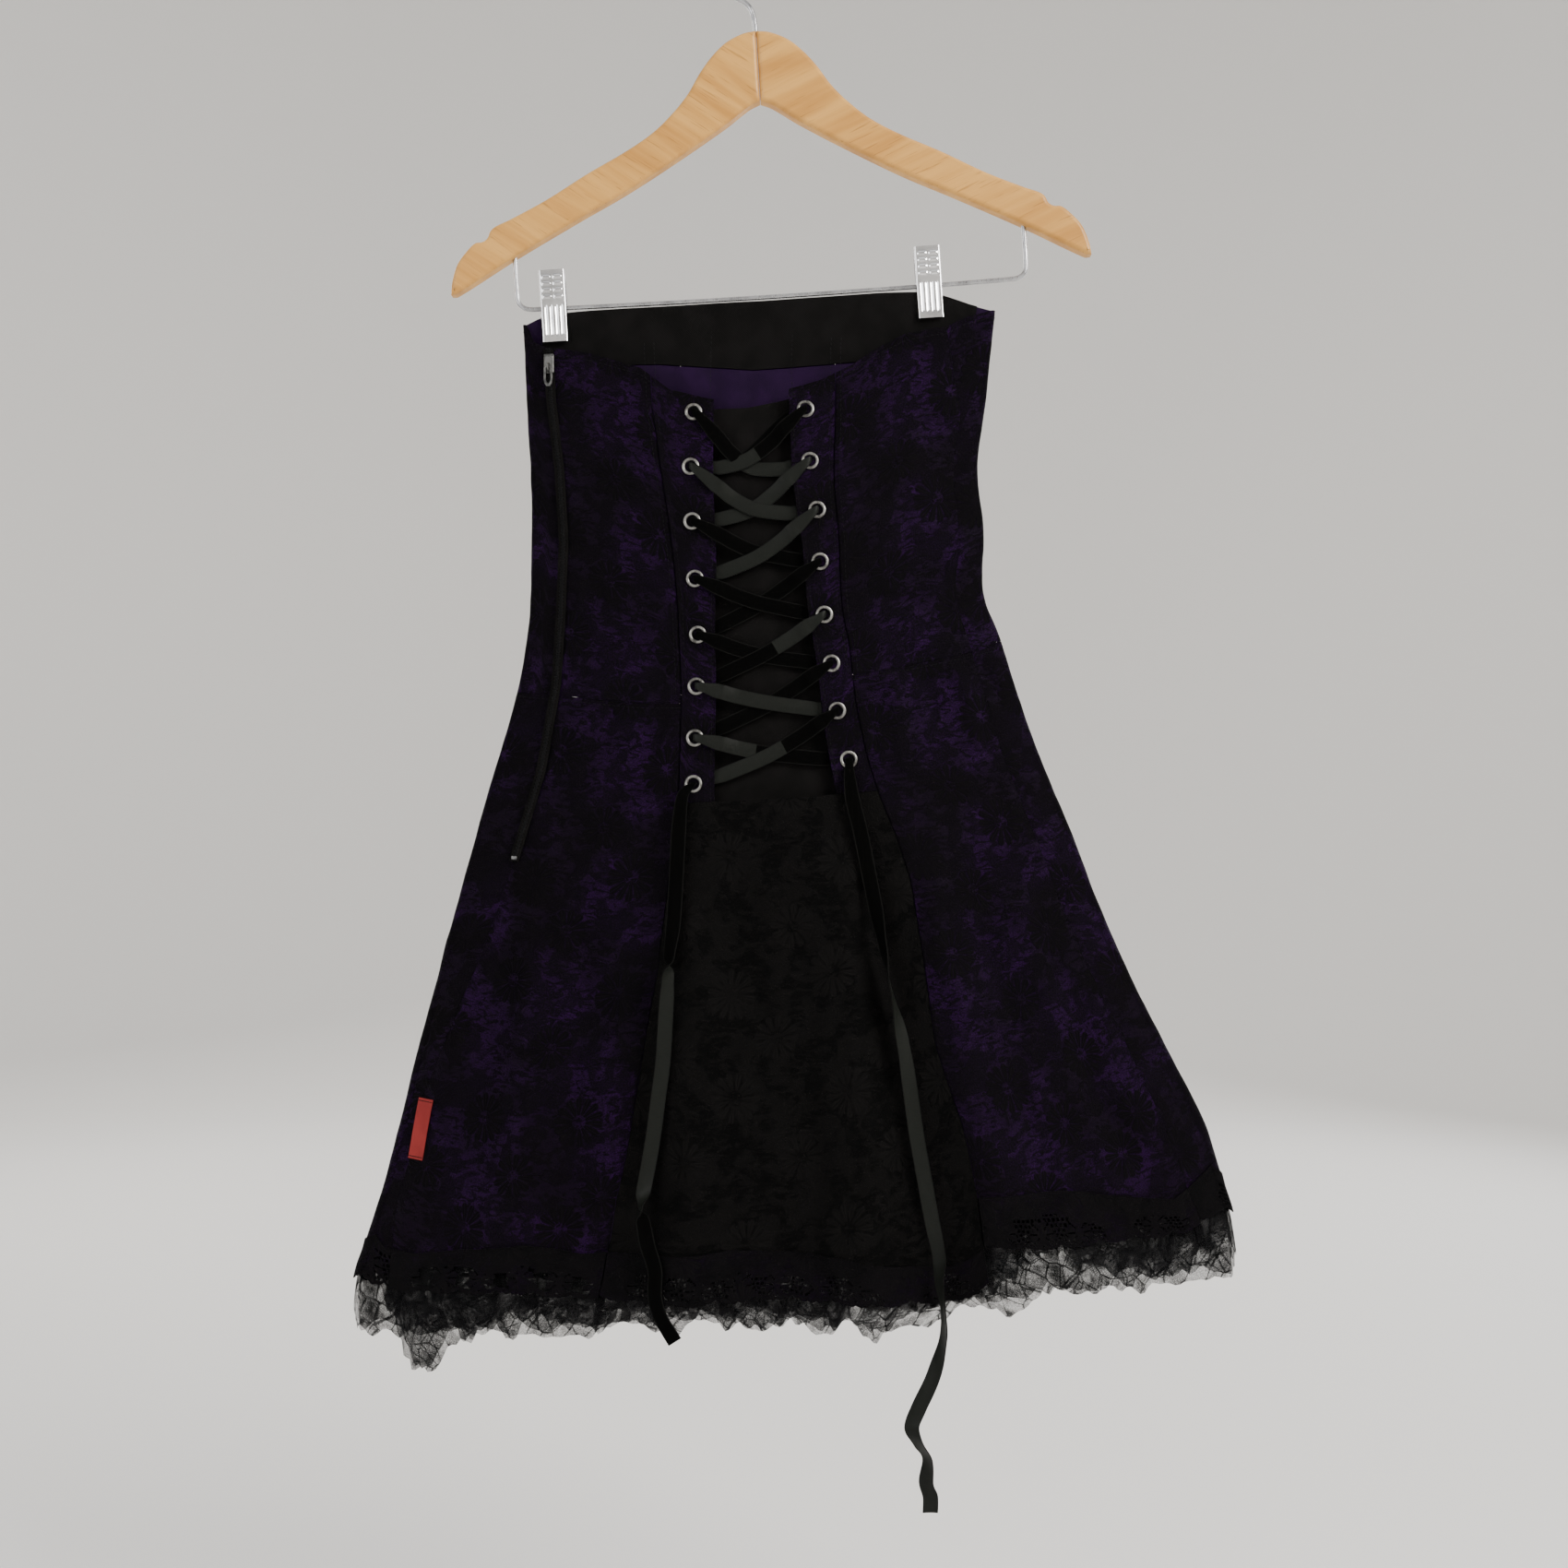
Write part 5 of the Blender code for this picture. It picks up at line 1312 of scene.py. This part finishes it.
def ribbon(name, stations, faces, velvet, satin, across=4):
    """A ribbon through stations, each a middle, a side vector and a width. faces gives what its front shows."""
    spots, uvs = [], []
    run = 0.0
    for k, (middle, side, width) in enumerate(stations):
        travel = stations[min(k + 1, len(stations) - 1)][0] - stations[max(k - 1, 0)][0]
        if k:
            run += (middle - stations[k - 1][0]).length
        out = travel.cross(side).normalized() if travel.length else Vector((0, -1, 0))
        row, marks = [], []
        for j in range(across + 1):
            a = j / across - 0.5
            cup = 0.45 * (1.0 - 4.0 * a * a)
            row.append(middle + side * width * a + out * cup)
            marks.append((a * RIBBON_WIDTH * MM, -run * MM))
        spots.append(row)
        uvs.append(marks)
    obj = woven(name, spots, uvs)
    dress_in(obj, velvet, satin, satin, velvet)
    rows = len(spots) - 1
    for face in obj.data.polygons:
        row = rows - 1 - face.index // across
        face.material_index = 0 if faces(row / rows) == "velvet" else 2
    shell = obj.modifiers.new("wall", "SOLIDIFY")
    shell.thickness = RIBBON_WALL * MM
    shell.offset = 0.0
    shell.material_offset = 1
    settle(obj)
    soften(obj, 50)
    return obj


def lace_up(line, velvet, satin):
    """The laced ribbon: each crossing over its own placket, under the other, and the slack loop at the top."""
    places = {side: [place_of(x, z) for x, z in EYELETS[side]] for side in EYELETS}
    strips = []
    for crossing in CROSSINGS:
        other = "right" if crossing.side == "left" else "left"
        start, end = places[crossing.side][crossing.row], places[other][crossing.row + 1]
        edges = (line.edge_l, line.edge_r) if crossing.side == "left" else (line.edge_r, line.edge_l)
        over = (crossing.row + (crossing.side == "left")) % 2 == 0
        stations = smoothed(crossing_way(start, end, edges, over, crossing.sag), 5)
        if crossing.side == "right":
            stations = [(middle, -side, width) for middle, side, width in stations]

        def faces(share, crossing=crossing):
            return crossing.first if share < 0.55 else crossing.last
        name = f"lacing_{crossing.side}_{crossing.row + 1}"
        strips.append(ribbon(name, stations, faces, velvet, satin))
    loop = []
    for k, (x, z, lift, width) in enumerate(SLACK_LOOP):
        t, v = place_of(x, z)
        before, after = SLACK_LOOP[max(k - 1, 0)], SLACK_LOOP[min(k + 1, len(SLACK_LOOP) - 1)]
        travel = Vector((after[0] - before[0], 0.0, after[1] - before[1]))
        side = outward(t, v).cross(travel)
        if side.z < 0:
            side = -side
        loop.append((lifted(t, v, lift + 1.4), side.normalized(), width))
    strips.append(ribbon("lacing_loop", smoothed(loop, 5), lambda share: "velvet", velvet, satin))
    for strip in strips:
        fit(strip, ["lacing"])


def true_place(x, z, y):
    """The point at depth y that the eye sees at x, z."""
    nearer = (EYE_DISTANCE + y) / EYE_DISTANCE
    return Vector((EYE_X + (x - EYE_X) * nearer, y, EYE_Z + (z - EYE_Z) * nearer))


def tail_route(start, bends):
    """The free end's way: out of the last eyelet, down the skirt and free below it."""
    t, v = start
    stations = [
        (lifted(t, v, -2.0), Vector((1, 0, 0)), EYELET_WIDTH),
        (lifted(t, v, 2.7), Vector((1, 0, 0)), EYELET_WIDTH),
    ]
    places = []
    for bend in bends:
        stand = TAIL_STAND + 0.5 * RIBBON_WIDTH * abs(math.sin(math.radians(bend.turn)))
        place = lifted(*place_of(bend.x, max(bend.z, TAIL_FREE)), stand)
        if bend.z < TAIL_FREE:
            place = true_place(bend.x, bend.z, min(place.y, places[-1].y))
        places.append(place)
    places[0] = lifted(*place_of(bends[0].x, bends[0].z), 3.3)
    for k, (place, bend) in enumerate(zip(places, bends)):
        travel = places[min(k + 1, len(places) - 1)] - places[max(k - 1, 0)]
        flat = travel.cross(Vector((0, -1, 0))).normalized()
        if flat.x < 0:
            flat = -flat
        turn = Matrix.Rotation(math.radians(bend.turn), 3, travel.normalized())
        stations.append((place, turn @ flat, bend.width))
    return stations


def hang_tails(velvet, satin):
    for side, bends in (("left", TAIL_LEFT), ("right", TAIL_RIGHT)):
        start = place_of(*EYELETS[side][-1])
        route = tail_route(start, bends)
        obj = ribbon(f"tail_{side}_ribbon", smoothed(route, 6), lambda share: "velvet", velvet, satin)
        fit(obj, [f"tail_{side}"])


# Zip and label

def on_zip(z, lift):
    t, v = place_of(read_line(sorted((b, a) for a, b in SIDE_SEAM_LEFT), z), z)
    return frame_on(t, v, lift)


def sew_zip(twill, coil, nickel):
    """Tape, coil teeth, slider with its bail, pull and bottom stop."""
    spots = []
    steps = 150
    heights = [ZIP_TOP + (ZIP_FOOT - ZIP_TOP) * k / steps for k in range(steps + 1)]
    frames = [on_zip(z, ZIP_LIFT) for z in heights]
    for frame in frames:
        wave = 0.25 * noise.noise(frame.translation * 0.09)
        spots.append([frame @ Vector((ZIP_TAPE_WIDTH * (k / 6 - 0.5), wave - 0.3 * (k in (2, 3, 4)), 0)) for k in range(7)])
    tape = woven("zip_tape_cloth", spots, flat_map(spots))
    dress_in(tape, twill)
    thicken(tape, ZIP_TAPE_WALL - 0.2)
    settle(tape)
    soften(tape)
    fit(tape, ["zip_tape"])

    deselect()
    bpy.ops.mesh.primitive_cylinder_add(vertices=8, radius=0.42, depth=2.6, rotation=(0, math.radians(90), 0))
    tooth = newest("tooth_model")
    bpy.ops.object.transform_apply(rotation=True)
    places = []
    for a, b in zip(frames, frames[1:]):
        pieces = max(1, round((b.translation - a.translation).length / 1.2))
        for k in range(pieces):
            spot = a.lerp(b, k / pieces)
            places.append(spot @ Matrix.Translation((0.25 if len(places) % 2 else -0.25, -0.75, 0.0)))
    teeth = copied("zip_teeth", tooth, places)
    bpy.data.objects.remove(tooth)
    dress_in(teeth, coil)
    fit(teeth)

    for node in ("zip_slider", "zip_stop", "zip_pull"):
        dress_in(bpy.data.objects[node], nickel)


def sew_label(red, thread):
    """A plain red tape tag, stitched down at both ends."""
    (top_x, top_z), (low_x, low_z) = LABEL_LINE
    spots = []
    frames = []
    for k in range(25):
        s = k / 24
        t, v = place_of(top_x + (low_x - top_x) * s, top_z + (low_z - top_z) * s)
        side = (cloth(t + 0.01, v) - cloth(t - 0.01, v)).normalized()
        rise = LABEL_LIFT - 0.3 + relief(t, v) + 0.8 * math.sin(math.pi * s)
        row = []
        for j in range(9):
            a = j / 8 - 0.5
            row.append(lifted(t, v, rise + 0.5 * a * a) + side * LABEL_WIDTH * a)
        spots.append(row)
        if k in (1, 23):
            for j in range(5):
                place = lifted(t, v, rise + 0.45) + side * LABEL_WIDTH * (j - 2) * 0.19
                turn = frame_on(t, v, 0.0, side).to_3x3().to_4x4()
                frames.append(Matrix.Translation(place) @ turn)
    tag = woven("side_label_tape", spots, flat_map(spots))
    dress_in(tag, red)
    thicken(tag, LABEL_WALL)
    settle(tag)
    soften(tag)
    fit(tag, ["side_label"])
    model = thread_model()
    stitches = copied("label_stitches", model, frames)
    bpy.data.objects.remove(model)
    dress_in(stitches, thread)
    fit(stitches)


# Hanger

def lean_over(obj):
    """Turn a piece about the hook with the hanger's lean."""
    obj.data.transform(Matrix.Rotation(-HANGER_LEAN, 4, "Y"))
    obj.data.update()


def rounded(points, steps, closed=True, sharp=50.0):
    """A smooth line through points, kept straight into corners sharper than that many degrees."""
    count = len(points)
    vectors = [Vector((x, z)) for x, z in points]

    def turn_at(k):
        if not closed and k in (0, count - 1):
            return 180.0
        a = vectors[k] - vectors[(k - 1) % count]
        b = vectors[(k + 1) % count] - vectors[k]
        return math.degrees(a.angle(b))

    fine = []
    for k in range(count if closed else count - 1):
        a, b = vectors[k], vectors[(k + 1) % count]
        run = b - a
        leave = run if turn_at(k) > sharp else 0.5 * (b - vectors[(k - 1) % count])
        arrive = run if turn_at((k + 1) % count) > sharp else 0.5 * (vectors[(k + 2) % count] - a)
        leave = leave.normalized() * run.length
        arrive = arrive.normalized() * run.length
        for step in range(steps):
            s = step / steps
            fine.append(
                a * (2 * s ** 3 - 3 * s ** 2 + 1) + leave * (s ** 3 - 2 * s ** 2 + s)
                + b * (3 * s ** 2 - 2 * s ** 3) + arrive * (s ** 3 - s ** 2)
            )
    if not closed:
        fine.append(vectors[-1])
    return [(p.x, p.y) for p in fine]


def board(name, outline, thick, rim, steps):
    """A flat board cut to an outline in the x, z plane, its rim rounded over."""
    curve = bpy.data.curves.new(name, "CURVE")
    curve.dimensions = "2D"
    curve.fill_mode = "BOTH"
    curve.extrude = (0.5 * thick - rim) * MM
    curve.bevel_depth = rim * MM
    curve.bevel_resolution = steps
    curve.offset = -rim * MM
    spline = curve.splines.new("POLY")
    spline.points.add(len(outline) - 1)
    for point, (x, z) in zip(spline.points, outline):
        point.co = (x * MM, z * MM, 0.0, 1.0)
    spline.use_cyclic_u = True
    obj = bpy.data.objects.new(name, curve)
    obj.rotation_euler.x = math.radians(90)
    bpy.context.scene.collection.objects.link(obj)
    return settle(obj)


def bent_wire(name, line, radius):
    curve = bpy.data.curves.new(name, "CURVE")
    curve.dimensions = "3D"
    curve.bevel_depth = radius * MM
    curve.bevel_resolution = 5
    curve.use_fill_caps = True
    spline = curve.splines.new("POLY")
    spline.points.add(len(line) - 1)
    for point, (x, z) in zip(spline.points, line):
        point.co = (x * MM, 0.0, z * MM, 1.0)
    obj = bpy.data.objects.new(name, curve)
    bpy.context.scene.collection.objects.link(obj)
    return settle(obj)


def build_hanger(wood_left, wood_right, steel, chrome):
    for name, way, timber in (("left", -1.0, wood_left), ("right", 1.0, wood_right)):
        loop = [(way * x, z) for x, z in ARM_OUTLINE]
        if way < 0:
            loop.reverse()
        arm = board(f"hanger_arm_{name}_wood", rounded(loop, 5), HANGER_THICK, 3.0, 5)
        lean_over(arm)
        soften(arm, 40)
        dress_in(arm, timber)
        fit(arm, [f"hanger_arm_{name}"])
    centre_z = HOOK_WIRE - HOOK_RADIUS
    line = rounded(HOOK_STEM[1:], 4, closed=False)[:-1]
    for k in range(67):
        angle = math.radians(HOOK_START - HOOK_SWEEP * k / 66)
        line.append((HOOK_RADIUS * math.cos(angle), centre_z + HOOK_RADIUS * math.sin(angle)))
    hook = bent_wire("hanger_hook_wire", line, HOOK_WIRE)
    bar_line = rounded([(-x, z) for x, z in BAR_HALF] + list(reversed(BAR_HALF[:-1])), 6, closed=False)
    bar = bent_wire("hanger_bar_wire", bar_line, BAR_WIRE)
    for piece, node in ((hook, "hanger_hook"), (bar, "hanger_bar")):
        lean_over(piece)
        soften(piece, 60)
        dress_in(piece, steel)
        fit(piece, [node])
    for name, x in CLIP_XS.items():
        for jaw, profile, way in (("front", CLIP_FRONT[1:7], -1.0), ("back", tuple(reversed(CLIP_BACK[7:])), 1.0)):
            clip_jaw(name, x, jaw, profile, way, chrome)


def clip_jaw(name, x, jaw, profile, way, chrome):
    """One stamped jaw: a plate with dashes over grooves, its sides turned in and its toe flared."""
    outer = sorted((z, y) for y, z in profile)
    low, high = outer[0][0], outer[-1][0]
    half = 0.5 * CLIP_WIDTH
    rows, columns = 104, 48
    spots = []
    for r in range(rows + 1):
        z = high + (low - high) * r / rows
        row = []
        for c in range(columns + 1):
            s = (c / columns - 0.5) * 2.0 * (half + CLIP_FLANGE)
            inset = abs(s) - (half - 0.8)
            bend = min(max(inset / 1.26, 0.0), 0.5 * math.pi)
            past = max(0.0, inset - 1.26 * 0.5 * math.pi)
            across = min(abs(s), half - 0.8) + 0.8 * math.sin(bend)
            depth = 0.8 * (1.0 - math.cos(bend)) + past
            relief_here = stamped(across * (1 if s > 0 else -1), z, high) if inset < 0 else 0.0
            y = read_line(outer, z) - way * depth + way * (relief_here - 0.4)
            row.append(Vector((x + across * (1 if s > 0 else -1), y, z)))
        spots.append(row if way < 0 else list(reversed(row)))
    obj = woven(f"clip_{name}_{jaw}_jaw", spots, flat_map(spots))
    dress_in(obj, chrome)
    thicken(obj, 0.8)
    settle(obj)
    lean_over(obj)
    soften(obj, 40)
    fit(obj, [f"clip_{name}_{jaw}"])


def stamped(x, z, top):
    """Relief of the clip's face: two columns of four dashes over four upright grooves."""
    height = 0.0
    down = top - z
    for k in range(4):
        off_z = (down - 5.0 - 4.6 * k) / 1.1
        for side in (-3.9, 3.9):
            off_x = max(0.0, abs(x - side) - 2.0) / 0.8
            height += 0.7 * math.exp(-off_z * off_z - off_x * off_x)
    for k in range(4):
        off_x = (x - (-5.4 + 3.6 * k)) / 0.7
        off_z = max(0.0, abs(down - 35.5) - 9.5) / 1.2
        height -= 0.65 * math.exp(-off_x * off_x - off_z * off_z)
    return height


# Surroundings

def lay_bowl():
    """A pale studio bowl: a wide floor that curves up into walls far behind and before the dress."""
    profile = [(0.0, 0.0), (2.6, 0.0)]
    for k in range(1, 13):
        angle = math.radians(7.5 * k)
        profile.append((2.6 + 1.4 * math.sin(angle), 1.4 * (1.0 - math.cos(angle))))
    profile += [(4.0, 2.4), (4.0, 4.2)]
    points, faces = [], []
    around_count = 96
    for radius, height in profile:
        for k in range(around_count):
            angle = 2.0 * math.pi * k / around_count
            points.append((radius * math.cos(angle), radius * math.sin(angle), FLOOR_Z + height))
    for ring in range(len(profile) - 1):
        for k in range(around_count):
            a, b = ring * around_count + k, ring * around_count + (k + 1) % around_count
            faces.append((a, b, b + around_count, a + around_count))
    mesh = bpy.data.meshes.new("studio_bowl")
    mesh.from_pydata(points, [], faces)
    mesh.shade_smooth()
    bowl = bpy.data.objects.new("studio_bowl", mesh)
    bpy.context.scene.collection.objects.link(bowl)
    mat, _, shader = finish("pale_paint", 0.9)
    shader.inputs["Base Color"].default_value = (0.80, 0.785, 0.765, 1.0)
    shader.inputs["Specular IOR Level"].default_value = 0.1
    dress_in(bowl, mat)


def lamp(name, place, aim, size, power, colour):
    light = bpy.data.lights.new(name, "AREA")
    light.shape = "SQUARE"
    light.size = size
    light.energy = power
    light.color = colour
    obj = bpy.data.objects.new(name, light)
    obj.location = place
    obj.rotation_euler = (Vector(aim) - Vector(place)).to_track_quat("-Z", "Y").to_euler()
    bpy.context.scene.collection.objects.link(obj)


def light_room():
    world = bpy.data.worlds.new("soft_room")
    bpy.context.scene.world = world
    world.use_nodes = True
    world.node_tree.nodes["Background"].inputs["Color"].default_value = (1.0, 0.99, 0.97, 1.0)
    world.node_tree.nodes["Background"].inputs["Strength"].default_value = 0.66
    middle = (0.03, 0.0, -0.6)
    lamp("window_right", (1.7, -1.3, 0.7), middle, 1.0, 70.0, (1.0, 0.98, 0.95))
    lamp("window_left", (-1.7, -1.8, 0.1), middle, 1.6, 26.0, (0.95, 0.97, 1.0))
    lamp("back_left", (-1.4, 2.0, 0.4), middle, 1.6, 34.0, (1.0, 0.99, 0.97))
    lamp("back_right", (1.6, 1.8, 0.0), middle, 1.6, 26.0, (0.97, 0.98, 1.0))
    lamp("ceiling", (0.0, -0.3, 2.4), middle, 2.4, 10.0, (1.0, 1.0, 1.0))


def set_camera():
    camera = bpy.data.objects.new("photo_eye", bpy.data.cameras.new("photo_eye"))
    camera.data.sensor_width = 36.0
    camera.data.lens = 36.0 * EYE_DISTANCE / PHOTO_WIDTH
    camera.location = (EYE_X * MM, -EYE_DISTANCE * MM, EYE_Z * MM)
    camera.rotation_euler = (math.radians(90), 0.0, 0.0)
    bpy.context.scene.collection.objects.link(camera)
    bpy.context.scene.camera = camera


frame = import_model()
set_camera()

purple_lace = lace_cloth(
    "black_lace_over_purple", (0.0165, 0.0026, 0.031), (0.0017, 0.0013, 0.0018),
    (0.0036, 0.0014, 0.0052), 0.9,
)
black_lace = lace_cloth(
    "black_lace_over_dark", (0.0004, 0.0004, 0.0004), (0.0034, 0.0031, 0.0030),
    (0.0003, 0.0003, 0.0003), 0.9,
)
border_lace = lace_cloth(
    "black_lace_border", (0.0036, 0.0010, 0.0056), (0.0026, 0.0022, 0.0026),
    (0.0008, 0.0008, 0.0009), 0.9,
)
# Lining satin: its own deep purple, set darker than the same purple under the lace as painted shade for the inside of
# the dress.
purple_satin = weave(
    "purple_satin", (0.0125, 0.0028, 0.0225), (0.0080, 0.0018, 0.0150),
    0.5, 9.0, Specular_IOR_Level=0.05,
)
black_twill = weave(
    "black_twill", (0.0046, 0.0041, 0.0040), (0.0026, 0.0024, 0.0022),
    0.75, 6.0, Specular_IOR_Level=0.05,
)
red_woven = weave("red_woven_tape", (0.225, 0.022, 0.020), (0.18, 0.016, 0.015), 0.6, 7.0, Specular_IOR_Level=0.15)
tulle = tulle_net("black_tulle_net")
velvet = ribbon_face(
    "black_velvet", (0.0010, 0.0010, 0.0009), (0.0060, 0.0060, 0.0056),
    0.8, 1.0, Specular_IOR_Level=0.02, Sheen_Weight=0.015, Sheen_Roughness=0.35,
)
satin = ribbon_face(
    "grey_satin", (0.0082, 0.0092, 0.0077), (0.0050, 0.0053, 0.0047),
    0.42, 0.15, Specular_IOR_Level=0.08,
)
nickel = metal("aged_nickel", (0.24, 0.235, 0.22), (0.09, 0.087, 0.082), 0.36, 240.0)
silver = metal("zip_nickel", (0.13, 0.13, 0.125), (0.05, 0.05, 0.05), 0.34, 240.0)
chrome = metal("chrome_plate", (0.86, 0.86, 0.87), (0.62, 0.62, 0.63), 0.12, 60.0)
steel = metal("hanger_steel", (0.46, 0.46, 0.47), (0.30, 0.30, 0.31), 0.3, 90.0)
thread = plain("black_thread", (0.0030, 0.0026, 0.0034), 0.7)
coil = plain("black_nylon", (0.0030, 0.0030, 0.0034), 0.5)
wood_left = wood("honey_wood_left", math.radians(-33))
wood_right = wood("honey_wood_right", math.radians(26))

line = dress_lines()
hang_tails(velvet, satin)
sew_bodice(line, purple_lace, purple_satin, black_twill)
sew_skirt(line, purple_lace, purple_satin, black_lace, border_lace, tulle)
stitching(line, thread)
set_eyelets(nickel)
lace_up(line, velvet, satin)
sew_zip(black_twill, coil, silver)
sew_label(red_woven, thread)
build_hanger(wood_left, wood_right, steel, chrome)
lay_bowl()
light_room()
